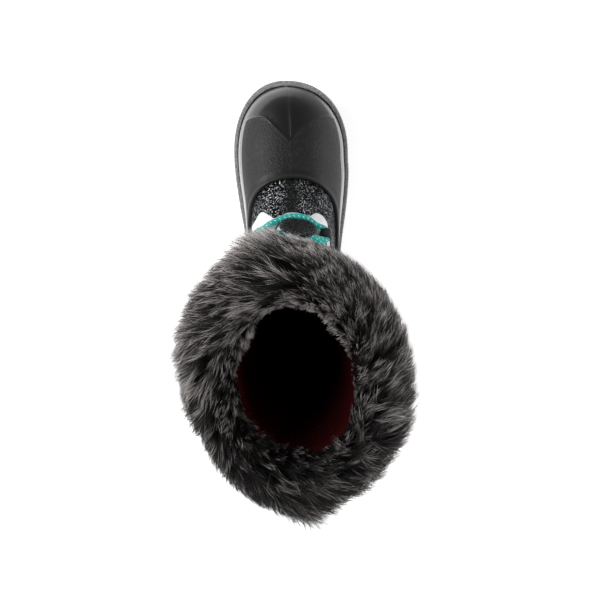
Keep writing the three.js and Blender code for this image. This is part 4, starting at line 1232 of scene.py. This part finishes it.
def make_insole(fleece):
    """The footbed, cut to the inside of the lining and raised a little round its edge."""
    skin = whole_skin(fine=False)
    tree = BVHTree.FromPolygons((skin.at - skin.normal * (UPPER_WALL + BED_GAP)).tolist(), skin.faces.tolist())
    level = lambda t: float(along(SOLE_SIDE, PLATFORM, np.array(t))) + BED_GAP

    def reach(t, direction):
        start = Vector((0.0, HEEL_CENTRE - t, level(t) + BED_GIRTH))
        return tree.ray_cast(start, Vector(direction), SOLE_LENGTH)[3] or 0

    n, m = BED_GRID
    heel, toe = 60 - reach(60, (0, 1, 0)), 150 + reach(150, (0, -1, 0))
    share = (1 - np.cos(np.linspace(0.02, math.pi - 0.02, n))) / 2
    across = np.linspace(-1, 1, m)
    top = BED_THICK * (1 - 0.35 * np.abs(across) ** 12) + BED_CUP * np.abs(across) ** 4
    rows = []
    for t in lerp(heel + BED_GAP, toe - BED_GAP, share):
        x = across * np.where(across > 0, reach(t, (1, 0, 0)), reach(t, (-1, 0, 0)))
        y = np.full(m, HEEL_CENTRE - t)
        rows.append([np.column_stack([x, y, level(t) + rise * top]) for rise in (0, 1)])
    points = np.swapaxes(rows, 0, 1).reshape(-1, 3)
    sheet = ring_faces(n, m, False, False)
    faces = [list(f) for f in sheet] + [[v + n * m for v in f[::-1]] for f in sheet]
    border = ([i for i in range(m)] + [i * m + m - 1 for i in range(1, n)]
              + [(n - 1) * m + i for i in range(m - 2, -1, -1)] + [i * m for i in range(n - 2, 0, -1)])
    for a, b in zip(border, border[1:] + border[:1]):
        faces.append([a, b, b + n * m, a + n * m])
    turn_outward(new_piece("footbed", points, faces, [fleece], 60, replaces=("insole",)))


CHANNEL_PITCH, CHANNEL_START, CHANNEL_WIDTH, CHANNEL_DEPTH = 19, 14, 1.6, 1.3


def make_tongue(colours, fleece):
    """A padded tongue: full between the quarters, thin where it slides under them, sewn across in channels."""
    # painted light: the tongue's fabric is painted lighter than the quarters
    fabric = cloth_finish("tongue_finish", colours.fabric_painted_light, colours.fabric)
    skin = whole_skin()
    skin = skin.kept(TONGUE_OVERLAP - throat_distance(skin))
    inside, up = -throat_distance(skin), up_the_throat(skin)[0]
    full = smoothstep(-0.6, 7, inside) ** 0.6
    in_channel = bell((up - CHANNEL_START) % CHANNEL_PITCH, CHANNEL_PITCH / 2, CHANNEL_WIDTH)
    channel = in_channel * smoothstep(2, 7, inside)
    under = -UPPER_WALL - 0.45
    outer = under + (UPPER_WALL - 0.5) * full - CHANNEL_DEPTH * channel * full
    outer = np.where(inside < -0.3, under, outer)
    points, faces = walled(skin, outer, -UPPER_WALL - GAP - 3.4)
    piece = new_piece(
        "tongue_pad", points, faces, [fabric, fleece], 180, cloth_map(skin), ("tongue",))
    lined = np.zeros(len(piece.data.polygons), np.int32)
    lined[len(skin.faces):2 * len(skin.faces)] = 1
    piece.data.polygons.foreach_set("material_index", lined)
    return piece


# ---------- lacing ----------
def oval_point(radius, angle, lift):
    """A point of the keeper's dome and its section and x."""
    up = (KEEPER_LENGTH / 2) * radius * np.sin(angle)
    side = radius * np.cos(angle)
    arch = (1 - (np.abs(up) / (KEEPER_LENGTH / 2 + 1)) ** 4) * (1 - 0.22 * side**2)
    x = KEEPER_X + (KEEPER_WIDTH / 2) * side
    turned = KEEPER_SECTION + (up - KEEPER_TURN * side) / SECTION_PITCH
    return on_upper(turned, x, GAP + KEEPER_HEIGHT * arch + lift)[0]


KEEPER_AROUND, KEEPER_RINGS = 72, 14
KEEPER_EDGE = [(1.0, 0.95), (1.012, 0.6), (1.0, 0.15)]  # round the edge: radius, share of the wall


def make_keeper(sizes):
    """The patch: over the top, round the edge and back underneath, and a row of stitches inside its edge."""
    angle = np.linspace(0, 2 * math.pi, KEEPER_AROUND, endpoint=False)
    radius = (np.arange(1, KEEPER_RINGS + 1) / KEEPER_RINGS)[:, None]
    top = oval_point(radius[:-1], angle[None, :], KEEPER_WALL)
    edge = np.stack([oval_point(r, angle, KEEPER_WALL * share) for r, share in KEEPER_EDGE])
    bottom = oval_point(radius[-2::-4], angle[None, :], 0.0)
    layers = np.concatenate([top, edge, bottom])
    middles = [oval_point(0.0, 0.0, lift)[None] for lift in (KEEPER_WALL, 0.0)]
    points = np.vstack([layers.reshape(-1, 3), *middles])
    faces = [list(f) for f in ring_faces(len(layers), KEEPER_AROUND, wrap_n=False)]
    last = len(layers) * KEEPER_AROUND
    for j in range(KEEPER_AROUND):
        k = (j + 1) % KEEPER_AROUND
        faces += [[last, k, j], [last + 1, last - KEEPER_AROUND + j, last - KEEPER_AROUND + k]]
    glitter = bpy.data.materials["glitter_finish"]
    piece = new_piece("keeper_patch", points, faces, [glitter], 60, replaces=("lace_keeper",))
    turn_outward(piece)
    reach = np.concatenate([radius[:-1, 0], np.ones(len(edge)), np.zeros(len(bottom))])
    rim = np.append(np.repeat(reach, KEEPER_AROUND), [0, 0])
    point_value(piece, "sparkle", 0.06 + 0.4 * smoothstep(0.7, 0.95, rim))
    seam = oval_point(0.9, np.linspace(0, 2 * math.pi, 97), KEEPER_WALL + 0.12)
    sew("keeper_stitches", [seam], "dark_thread", sizes)


TAB_LENGTH, TAB_DROP = 8, 0.035
RIB_PROUD, RIB_PITCH = 0.13, 1.45


def make_loops(colours):
    """Ribbed webbing loops: wound round the cord, with a tab sewn flat beside it."""
    finishes = (webbing_finish("pale_webbing_finish", times(colours.pale_web, 0.5), colours.pale_web),
                webbing_finish("black_webbing_finish", colours.black_web, times(colours.black_web, 3)))
    # the strip seen along the cord, [away from the middle, up]: over the cord, back under it and out to the tab
    arc = np.linspace(0, 1.5 * math.pi, 26)
    wound = [0, LOOP_LIFT] + (LOOP_RADIUS - LOOP_WALL / 2) * np.column_stack([np.cos(arc), np.sin(arc)])
    lap = np.linspace(0.5, LOOP_RADIUS + TAB_LENGTH, 9)[1:]
    tab = np.column_stack([lap, GAP + 0.15 + LOOP_WALL / 2 - TAB_DROP * lap**2])
    line = smooth_path(np.vstack([wound, tab]), 44)
    tangent = unit(np.gradient(line, axis=0))
    out = np.column_stack([tangent[:, 1], -tangent[:, 0]])[:, None]
    length = np.linspace(-0.5, 0.5, 22) * LOOP_LENGTH
    rib = RIB_PROUD * np.cos(length * 2 * math.pi / RIB_PITCH)
    half = LOOP_WALL / 2 * (1 - 0.6 * (np.abs(length) / (LOOP_LENGTH / 2)) ** 14)
    outside, inside = (line[:, None] + out * wall[None, :, None] for wall in (half + rib, -half))
    layers = np.concatenate([outside, inside[:, ::-1]], axis=1)
    lengths = np.concatenate([length, length[::-1]])
    n, m = layers.shape[:2]
    faces = [list(f) for f in ring_faces(n, m, wrap_n=False)]
    faces += [list(range(m)), [(n - 1) * m + k for k in range(m)][::-1]]
    for number, (s, *sides) in enumerate(LOOPS, 1):
        for x, name, tone, finish in zip(sides, ("inner", "outer"), ("pale", "black"), finishes):
            at, upward, _, normal = on_upper(s, x)
            away = unit(np.cross(upward, normal))
            away *= np.sign(away[0]) * np.sign(x)
            long = unit(np.cross(away, normal))
            points = (at + layers[..., 0, None] * away + layers[..., 1, None] * normal
                      + lengths[None, :, None] * long)
            turn_outward(new_piece(f"webbing_{name}_{number}", points.reshape(-1, 3), faces, [finish], 60,
                                   replaces=(f"loop_{name}_{number}",)))


def loop_mouth(number, side, end):
    """The cord's centre at a loop's end: end is 1 towards the collar and -1 towards the toe."""
    s, inner_x, outer_x = LOOPS[number]
    at, upward, _, _ = on_upper(s, inner_x if side > 0 else outer_x, LOOP_LIFT)
    return at + upward * end * (LOOP_LENGTH / 2 + 1.0)


def lace_half(side):
    """The lace from the first bar's loop on one side, crossing at each rung, to the top loop."""
    points = [loop_mouth(0, side, -1), loop_mouth(0, side, 1)]
    for rung in range(len(LOOPS) - 1):
        here = side if rung % 2 == 0 else -side
        low, high = LOOPS[rung], LOOPS[rung + 1]
        # the crossing: x, share of the way up, and how high the strands above and below lie
        x, share, over, under = (KEEPER_X, 0.36, 5.2, 1.9) if rung == 0 else (0, 0.5, 7.4, STRAND_LIFT - 0.2)
        lift = over if (side > 0) == (rung % 2 == 0) else under
        from_x, to_x = (low[1], high[2]) if here > 0 else (low[2], high[1])
        beside = lerp(lift, STRAND_LIFT, 0.4)
        before, after = (share + 0.36) / 2 - 0.06, (share + 0.64) / 2 + 0.06
        for part, at_x, at_lift in ((before, from_x * 0.55 + x / 2, beside), (share, x, lift),
                                    (after, to_x * 0.55 + x / 2, beside)):
            points.append(on_upper(lerp(low[0], high[0], part), at_x, at_lift)[0])
        points += [loop_mouth(rung + 1, -here, -1), loop_mouth(rung + 1, -here, 1)]
    return points


LACE_POINTS, LACE_SIDES = 620, 14


def make_lace(colours):
    """One cord: up one side from the first bar and up the other, its ends hidden in the top loops."""
    bar = [on_upper(s, x, STRAND_LIFT)[0] for s, x in BAR]
    path = smooth_path(lace_half(1)[::-1] + bar + lace_half(-1), LACE_POINTS)
    length = path_length(path)
    skin = whole_skin(fine=False)
    tree = BVHTree.FromPolygons(skin.at.tolist(), skin.faces.tolist())
    nearest = [tree.find_nearest(Vector(p)) for p in path]
    normals, lift = np.array([hit[1] for hit in nearest]), np.array([hit[3] for hit in nearest])
    # pressed flat and wide under the keeper, and never into the upper
    pressed = 0.28 * bell(np.linalg.norm(path - oval_point(0.0, 0.0, -3.0), axis=1), 0, 9)
    radii = LACE_RADIUS * np.column_stack([1 + 0.3 * pressed, 1 - pressed])
    radii[:, 1] = np.minimum(radii[:, 1], np.maximum(lift - 0.15, 1.4))
    points, faces = tube(path, normals, radii, LACE_SIDES)
    around = np.tile(np.arange(LACE_SIDES) / LACE_SIDES, LACE_POINTS)
    finish = lace_finish("lace_finish", colours.lace, times(colours.lace, 0.35), colours.lace_fleck)
    new_piece("lace", points, faces, [finish], 60,
              ("cord", np.column_stack([around, np.repeat(length, LACE_SIDES)]), 1.0),
              ("lace_bar", "lace_cross_1", "lace_cross_2", "lace_cross_3"))
    print(f"lace length {length[-1]:.0f} mm")


# ---------- fur cuff ----------
def turned(degrees, since):
    """Degrees from one direction to another, between -180 and 180."""
    return (degrees - since + 180) % 360 - 180


COLLAR_UP = unit(np.array([0, COLLAR_FRONT[1] - COLLAR_BACK[1], COLLAR_FRONT[0] - COLLAR_BACK[0]], float))
LEAN_OVER = 12  # the collar's lean is taken over this height


class Cuff:
    """Places on the fur cuff: u runs 0 to 1 round the collar, and the profile is in (out, up)."""

    def __init__(self, count=360):
        half = np.linspace(0, 1, count // 2 + 1)
        w = np.concatenate([half, -half[1:-1][::-1]])
        edge = surface(COLLAR_SECTION, w)
        length = path_length(np.vstack([edge, edge[:1]]))
        even = np.interp(np.linspace(0, length[-1], count, endpoint=False), length, np.arange(count + 1))
        signed = np.concatenate([half, 2 - half[1:-1][::-1], [2]])
        w = np.interp(even, np.arange(count + 1), signed)
        w = np.where(w > 1, w - 2, w)
        self.count, self.edge = count, surface(COLLAR_SECTION, w)
        s = np.linspace(22, 25, 61)
        column = surface(s[:, None], w[None, :])
        level = column @ COLLAR_UP
        lower = np.array([np.interp(level[-1, j] - LEAN_OVER, level[:, j], s) for j in range(count)])
        self.lean = (self.edge - surface(lower, w)) / LEAN_OVER
        out = np.cross(ring_tangent(self.edge), COLLAR_UP)
        from_middle = self.edge - self.edge.mean(axis=0)
        self.out = unit(out * np.sign((from_middle * out).sum()))
        direction = np.degrees(np.arctan2(from_middle[:, 1], from_middle[:, 0]))
        less = sum(amount * bell(turned(direction, at), 0, spread) for at, spread, amount in CUFF_FLATS)
        self.fullness = (1 - less / (CUFF_REACH - CUFF_FLAT_FROM))[:, None]

    def at(self, u, out, up):
        place = np.asarray(u) * self.count
        i = np.floor(place).astype(int)
        share = (place - i)[..., None]
        pick = lambda rows: rows[i % self.count] * (1 - share) + rows[(i + 1) % self.count] * share
        out, up = np.asarray(out)[..., None], np.asarray(up)[..., None]
        out = np.minimum(out, CUFF_FLAT_FROM) + np.maximum(out - CUFF_FLAT_FROM, 0) * pick(self.fullness)
        return pick(self.edge) + pick(self.out) * out + pick(self.lean) * up


def cuff_profile(inset, count):
    """The cuff's closed cross-section moved in by inset, as [out, up]."""
    line = smooth_path(CUFF, count, closed=True)
    tangent = ring_tangent(line)
    outward = np.column_stack([-tangent[:, 1], tangent[:, 0]])
    if ((line - line.mean(axis=0)) * outward).sum() < 0:
        outward = -outward
    return line - outward * inset


PELT_GRID = (180, 60)


def make_pelt(colours):
    """The cuff's rolled backing: dark under the fur, and lined with fleece inside the opening."""
    around, across = PELT_GRID
    cuff, profile = Cuff(around), cuff_profile(2.2, across)
    u = np.repeat(np.arange(around) / around, across)
    points = cuff.at(u, np.tile(profile[:, 0], around), np.tile(profile[:, 1], around))
    hide = pelt_finish("pelt_finish", colours.fur_root, times(colours.fur_middle, 0.5))
    faces = ring_faces(around, across)
    piece = new_piece("cuff_pelt", points, faces, [hide, bpy.data.materials["fleece_finish"]], 180,
                      replaces=("fur_cuff",))
    round_share, across_share = (faces[:, 0] // across) / around, (faces[:, 0] % across) / across
    lined = across_share < np.interp(round_share, *LINING_EDGE.T)
    piece.data.polygons.foreach_set("material_index", lined.astype(np.int32))
    turn_outward(piece)


FUR_TOP, FUR_END = 0.24, 0.76  # on the cuff's cross-section, where the fur is at its full length and ends
FUR_PIECES = 5
FUR_ROOM = ((-91, -231, 0), (89.9, 102.6, 265))  # strands stay inside this box
FUR_SEED = 47
CUFF_CORE = (9.0, -22.0)  # out and up to the middle of the cuff's cross-section
TUFT_SPREAD = (0.0050, 0.0085)  # of the way round the cuff, and of its cross-section
GATHERED, STRAY = 0.42, 0.085  # how far strands meet at the tip, and how far they miss, of their length
STRAND_SHARES = (0.0, 0.34, 0.68, 1.0)  # a strand's rings and its tip
STRAND_TAPER = (0.8, 1.0, 0.72)
FUR_USUAL = 11  # the table's reach of a strand as long as fur_length
TRIES = 4  # places drawn for each tuft that is wanted


def make_fur(colours, sizes):
    """Thin tapered strands in small tufts, swept round the cuff and outwards, in several pieces.

    u runs round the cuff and v along its cross-section, from inside the opening over the top and down.
    """
    rng = np.random.default_rng(FUR_SEED)
    cuff, profile = Cuff(), cuff_profile(2.0, 240)
    profile = np.vstack([profile, profile[:1]])
    shares = np.linspace(0, 1, len(profile))

    def on_cuff(u, v):
        return cuff.at(u, np.interp(v, shares, profile[:, 0]), np.interp(v, shares, profile[:, 1]))

    tufts, per = sizes.tufts, sizes.strands
    u, v = rng.random(TRIES * tufts), rng.uniform(0.04, FUR_END, TRIES * tufts)
    edge = np.interp(u, *LINING_EDGE.T)
    # the cuff's outside is the larger, so it keeps more
    keep = (v > edge) & (rng.random(TRIES * tufts) < (60 + np.interp(v, shares, profile[:, 0])) / 90)
    u, v, edge = u[keep][:tufts], v[keep][:tufts], edge[keep][:tufts]
    tufts = len(u)
    spread = rng.normal(0, 1, (tufts, per, 2)) * TUFT_SPREAD
    sv = np.clip(v[:, None] + spread[..., 1], edge[:, None] - 0.01, FUR_END + 0.01)
    root = on_cuff(u[:, None] + spread[..., 0], sv)
    centre, middle = on_cuff(u, v), cuff.edge.mean(axis=0)
    along_v = unit(on_cuff(u, v + 0.004) - on_cuff(u, v - 0.004))
    around = unit(on_cuff(u + 0.002, v) - on_cuff(u - 0.002, v))
    normal = unit(np.cross(along_v, around))
    core = cuff.at(u, *(np.full(tufts, part) for part in CUFF_CORE))
    normal *= np.sign((normal * (centre - core)).sum(axis=1))[:, None]
    azimuth = np.arctan2(centre[:, 1] - middle[1], centre[:, 0] - middle[0])

    def facing(degrees, spread):
        return bell(turned(np.degrees(azimuth), degrees), 0, spread)

    inside = 1 - smoothstep(FUR_TOP - 0.11, FUR_TOP, v)
    messy = facing(128, 34)
    none, one = np.zeros(tufts), np.ones(tufts)
    collar = cuff.at(u, none, none)
    down, inward = cuff.at(u, none, -one) - collar, collar - cuff.at(u, one, none)
    along_v = unit(lerp(along_v, unit(down), smoothstep(0.48, 0.64, v)[:, None]))
    sweep = 0.95 - 0.2 * np.cos(2 * azimuth) + rng.normal(0, 0.33, tufts) * (1 + 1.5 * messy)
    combed = unit(along_v * np.cos(sweep)[:, None] + around * np.sin(sweep)[:, None])
    stand = np.interp(u, *FUR_STAND.T) / FUR_USUAL
    length = sizes.fur_length / MM * stand * rng.uniform(0.72, 1.12, tufts)
    length = np.maximum(length, 10) * (1 + 0.35 * smoothstep(0.30, FUR_TOP, v) * (v > FUR_TOP - 0.1))
    # outside, each tuft leaves the skin steeply and bends over; inside, it lies as a short plush
    lift = rng.uniform(0.35, 0.8, tufts) * (1 + 0.5 * messy)
    start = unit(normal * lift[:, None] * 1.5 + combed)
    end = unit(normal * 0.15 + combed + np.array([0, 0, -0.2]))
    tip = (start + end) * 0.5 * length[:, None]
    bend = start * (length * 0.5)[:, None]
    reach = np.interp(u, *FUR_INWARD.T) + rng.uniform(-0.3, 1.2, tufts)
    low = inside * smoothstep(0.0, 0.06, v - edge)
    plush = (inward * np.maximum(reach, 0)[:, None] + along_v * (4.2 + 3 * low)[:, None]
             + around * rng.normal(2.8, 1.2, tufts)[:, None] + normal * 0.8)
    tip, bend = lerp(tip, plush, inside[:, None]), lerp(bend, plush * 0.55 + normal * 0.5, inside[:, None])
    # the tuft's strands start apart, gather towards its middle and stray a little
    strand_scale = rng.uniform(0.70, 1.08, (tufts, per, 1))
    stray = rng.normal(0, 1, (tufts, per, 3)) * (np.linalg.norm(tip, axis=1) * STRAY)[:, None, None]
    gathered = (centre[:, None] - root) * GATHERED
    to_bend = bend[:, None] * strand_scale + gathered * 0.3 + stray * 0.25
    to_tip = tip[:, None] * strand_scale + gathered + stray
    curve = np.stack([root + to_bend * 2 * k * (1 - k) + to_tip * k * k for k in STRAND_SHARES], axis=2)
    curve = np.clip(curve, FUR_ROOM[0], FUR_ROOM[1])
    # how pale each tip is: patches and random strands, and painted light: lighter towards the front and the
    # inner side, darker towards the back
    patch = (np.sin(2 * math.pi * (9 * u + 2.3 * v)) * np.sin(2 * math.pi * (4 * u - 5.1 * v) + 1.3)
             + np.sin(2 * math.pi * (17 * u + 6.7 * v) + 0.4)) * 0.5
    tint = 0.39 + 0.17 * patch + rng.normal(0, 0.17, tufts) - 0.16 * facing(70, 60) + 0.10 * facing(-10, 45)
    tint += 0.42 * facing(-78, 40) * smoothstep(0.34, 0.52, v) + 0.5 * inside * facing(-90, 75)
    tint = np.clip(tint[:, None] + rng.normal(0, 0.20, (tufts, per)), 0, 1)
    width = sizes.fur_width / MM / 2 * rng.uniform(0.8, 1.2, (tufts, per))
    material = fur_finish("fur_finish", colours.fur_root, colours.fur_middle, colours.fur_tip)
    for number, chosen in enumerate(np.array_split(np.argsort(u), FUR_PIECES), 1):
        strands_piece(f"fur_{number}", curve[chosen].reshape(-1, 4, 3), width[chosen].ravel(),
                      tint[chosen].ravel(), material)


def strands_piece(name, curve, width, tint, material):
    """A mesh of closed three-sided strands: three rings and a tip each."""
    count = len(curve)
    tangent = unit(curve[:, 1] - curve[:, 0])
    helper = np.where(np.abs(tangent[:, 2:3]) < 0.9, [[0.0, 0, 1]], [[1.0, 0, 0]])
    side = unit(np.cross(tangent, helper))
    up = np.cross(side, tangent)
    angle = np.array([0, 2, 4]) * math.pi / 3
    ring = side[:, None] * np.cos(angle)[None, :, None] + up[:, None] * np.sin(angle)[None, :, None]
    body = curve[:, :3, None] + ring[:, None] * (width[:, None] * STRAND_TAPER)[..., None, None]
    points = np.concatenate([body.reshape(count, 9, 3), curve[:, 3:4]], axis=1).reshape(-1, 3)
    pattern = [[2, 1, 0]]
    for level in (0, 3):
        for k in range(3):
            a, b = level + k, level + (k + 1) % 3
            pattern += [[a, b, b + 3], [a, b + 3, a + 3]]
    pattern += [[6 + k, 6 + (k + 1) % 3, 9] for k in range(3)]
    faces = (np.arange(count)[:, None, None] * 10 + np.array(pattern)[None]).reshape(-1, 3)
    mesh = bpy.data.meshes.new(name)
    for part, amount in ((mesh.vertices, len(points)), (mesh.loops, faces.size), (mesh.polygons, len(faces))):
        part.add(amount)
    mesh.vertices.foreach_set("co", (points * MM).astype(np.float32).ravel())
    mesh.loops.foreach_set("vertex_index", faces.astype(np.int32).ravel())
    mesh.polygons.foreach_set("loop_start", np.arange(0, faces.size, 3, dtype=np.int32))
    mesh.polygons.foreach_set("use_smooth", np.ones(len(faces), bool))
    mesh.update(calc_edges=True)
    shares = np.append(np.repeat(np.maximum(STRAND_SHARES[:3], 0.02), 3), 0.98)
    uv = np.column_stack([np.repeat(0.01 + 0.98 * tint, 10), np.tile(shares, count)])
    for layer_name in ("strand", "OFBake"):
        layer = mesh.uv_layers.new(name=layer_name)
        layer.data.foreach_set("uv", uv[faces.ravel()].astype(np.float32).ravel())
    mesh.materials.append(material)
    add_piece(name, mesh)


# ---------- seams ----------
def make_threads():
    thread_finish("dark_thread", (0.012, 0.012, 0.013))
    thread_finish("pale_thread", (0.36, 0.36, 0.37))


def make_seams(sizes):
    """Rows of stitches along the vamp's rear edge and beside the throat."""
    x = np.linspace(-26.5, 33, 90)
    rear = on_upper(along(VAMP_REAR, 1, x) - 0.30, x, np.full(90, 0.85))[0]
    sew("vamp_stitches", [rear], "dark_thread", sizes)
    s = np.linspace(14.2, 21.5, 60)
    rows = [on_upper(s, np.full(60, side * (THROAT_HALF + 2.6)), 0.12)[0] for side in (1, -1)]
    sew("throat_stitches", rows, "pale_thread", sizes)


# ---------- stage ----------
CAMERA_AT = (0, -213.4, 1307.8)
CAMERA_TILT = 7.24
CAMERA_ROLL = 0.513
CAMERA_LENS = 95.11
CAMERA_SHIFT = (0.0119, -0.0315)


# lights, from the target: direction, distance, size, power
TARGET = Vector((0, -0.03, 0.12))
LIGHTS = [
    ("key_left", (0.95, -0.35, 0.72), 1.9, 1.1, 28), ("key_right", (-1, -0.2, 0.5), 1.9, 1.1, 14),
    ("back", (0.3, 1, 0.7), 2.0, 1.2, 6),
]


def make_stage(colours, sizes):
    scene = bpy.context.scene
    tilt, roll = math.radians(CAMERA_TILT), math.radians(CAMERA_ROLL)
    forward = Vector((0, math.sin(tilt), -math.cos(tilt)))
    up, right = Vector((0, -math.cos(tilt), -math.sin(tilt))), Vector((-1, 0, 0))
    up, right = up * math.cos(roll) + right * math.sin(roll), right * math.cos(roll) - up * math.sin(roll)
    data = bpy.data.cameras.new("camera")
    data.sensor_width, data.lens = 36, CAMERA_LENS
    data.shift_x, data.shift_y = CAMERA_SHIFT
    camera = add_object("camera", data)
    turn = Matrix((right, up, -forward)).transposed().to_4x4()
    camera.matrix_world = Matrix.Translation(Vector(CAMERA_AT) * MM) @ turn
    scene.camera = camera
    scene.view_settings.view_transform = "Standard"

    half = sizes.floor_size / 2
    corners = [(-half, -half, 0), (half, -half, 0), (half, half, 0), (-half, half, 0)]
    mesh = bpy.data.meshes.new("floor")
    mesh.from_pydata(corners, [], [(0, 1, 2, 3)])
    mesh.materials.append(floor_finish(colours.floor))
    add_object("floor", mesh)

    # a white room, darker towards the zenith and the front, that the camera sees evenly lit
    world = bpy.data.worlds.new("studio")
    scene.world = world
    world.use_nodes = True
    tree = world.node_tree
    place = add_node(tree, "ShaderNodeTexCoord").outputs["Generated"]
    direction = add_node(tree, "ShaderNodeSeparateXYZ", None, {0: place}).outputs
    fades = [
        add_node(tree, "ShaderNodeMapRange", None, {
            "Value": direction[axis], "From Min": low, "From Max": high, "To Min": start, "To Max": stop,
        }).outputs[0]
        for axis, low, high, start, stop in (("Z", 0.2, 0.9, 0.8, 0.06), ("Y", -0.75, -0.25, 0.34, 1.0))
    ]
    product = add_node(tree, "ShaderNodeMath", {"operation": "MULTIPLY"}, dict(enumerate(fades))).outputs[0]
    to_camera = add_node(tree, "ShaderNodeLightPath").outputs["Is Camera Ray"]
    seen = add_node(tree, "ShaderNodeMix", None, {0: to_camera, 2: product, 3: 0.8}).outputs[0]
    background = tree.nodes["Background"].inputs
    tree.links.new(seen, background["Strength"])
    background["Color"].default_value = (1, 1, 1, 1)
    for name, direction, away, size, power in LIGHTS:
        light = bpy.data.lights.new(name, "AREA")
        light.size, light.energy = size, power
        lamp = add_object(name, light)
        lamp.location = TARGET + Vector(direction).normalized() * away
        lamp.rotation_euler = (TARGET - lamp.location).to_track_quat("-Z", "Y").to_euler()


# ---------- operators, panel, registration ----------
def part_operator(name, label, tip, build, *groups):
    """An operator that makes one piece or group of pieces, from the scene's groups of colours or sizes."""

    def execute(self, context):
        build(*(getattr(context.scene, group) for group in groups))
        return {"FINISHED"}

    return type(f"BOOT_OT_{name}", (bpy.types.Operator,), {
        "bl_idname": f"boot.{name}", "bl_label": label, "__doc__": tip, "execute": execute,
    })


COLOURS, SIZES = "boot_colours", "boot_sizes"
OPERATORS = [
    part_operator("stage", "Stage", "Camera, lights and floor", make_stage, COLOURS, SIZES),
    part_operator("threads", "Threads", "Sewing threads' finishes", make_threads),
    part_operator("galosh", "Galosh", "The moulded rubber galosh", make_galosh, COLOURS),
    part_operator("sole", "Sole", "The sole's finish and its band", make_sole, COLOURS),
    part_operator("upper", "Quarters", "The textile upper", make_upper, COLOURS),
    part_operator("vamp", "Vamp", "The glitter vamp", make_vamp, COLOURS),
    part_operator("lining", "Lining", "The fleece lining, footbed and tongue", make_lining, COLOURS),
    part_operator("keeper", "Keeper", "The patch over the lace", make_keeper, SIZES),
    part_operator("loops", "Loops", "The webbing loops", make_loops, COLOURS),
    part_operator("lace", "Lace", "The cord lace", make_lace, COLOURS),
    part_operator("seams", "Seams", "Rows of stitches", make_seams, SIZES),
    part_operator("pelt", "Cuff", "The cuff's backing", make_pelt, COLOURS),
    part_operator("fur", "Fur", "The cuff's fur", make_fur, COLOURS, SIZES),
]


class BOOT_PT_pieces(bpy.types.Panel):
    """Lists the boot's pieces, sizes and colours."""

    bl_label = "Winter Boot"
    bl_idname = "BOOT_PT_pieces"
    bl_space_type = "VIEW_3D"
    bl_region_type = "UI"
    bl_category = "Winter Boot"

    def draw(self, context):
        for group in (context.scene.boot_sizes, context.scene.boot_colours):
            for name in group.__annotations__:
                self.layout.prop(group, name)
        for operator in OPERATORS:
            self.layout.operator(operator.bl_idname)


CLASSES = [BootColours, BootSizes, *OPERATORS, BOOT_PT_pieces]


def register():
    for cls in CLASSES:
        bpy.utils.register_class(cls)
    bpy.types.Scene.boot_colours = PointerProperty(type=BootColours)
    bpy.types.Scene.boot_sizes = PointerProperty(type=BootSizes)


def unregister():
    del bpy.types.Scene.boot_sizes
    del bpy.types.Scene.boot_colours
    for cls in reversed(CLASSES):
        bpy.utils.unregister_class(cls)


def main():
    register()
    for operator in OPERATORS:
        group, name = operator.bl_idname.split(".")
        getattr(getattr(bpy.ops, group), name)()


if __name__ == "__main__":
    main()
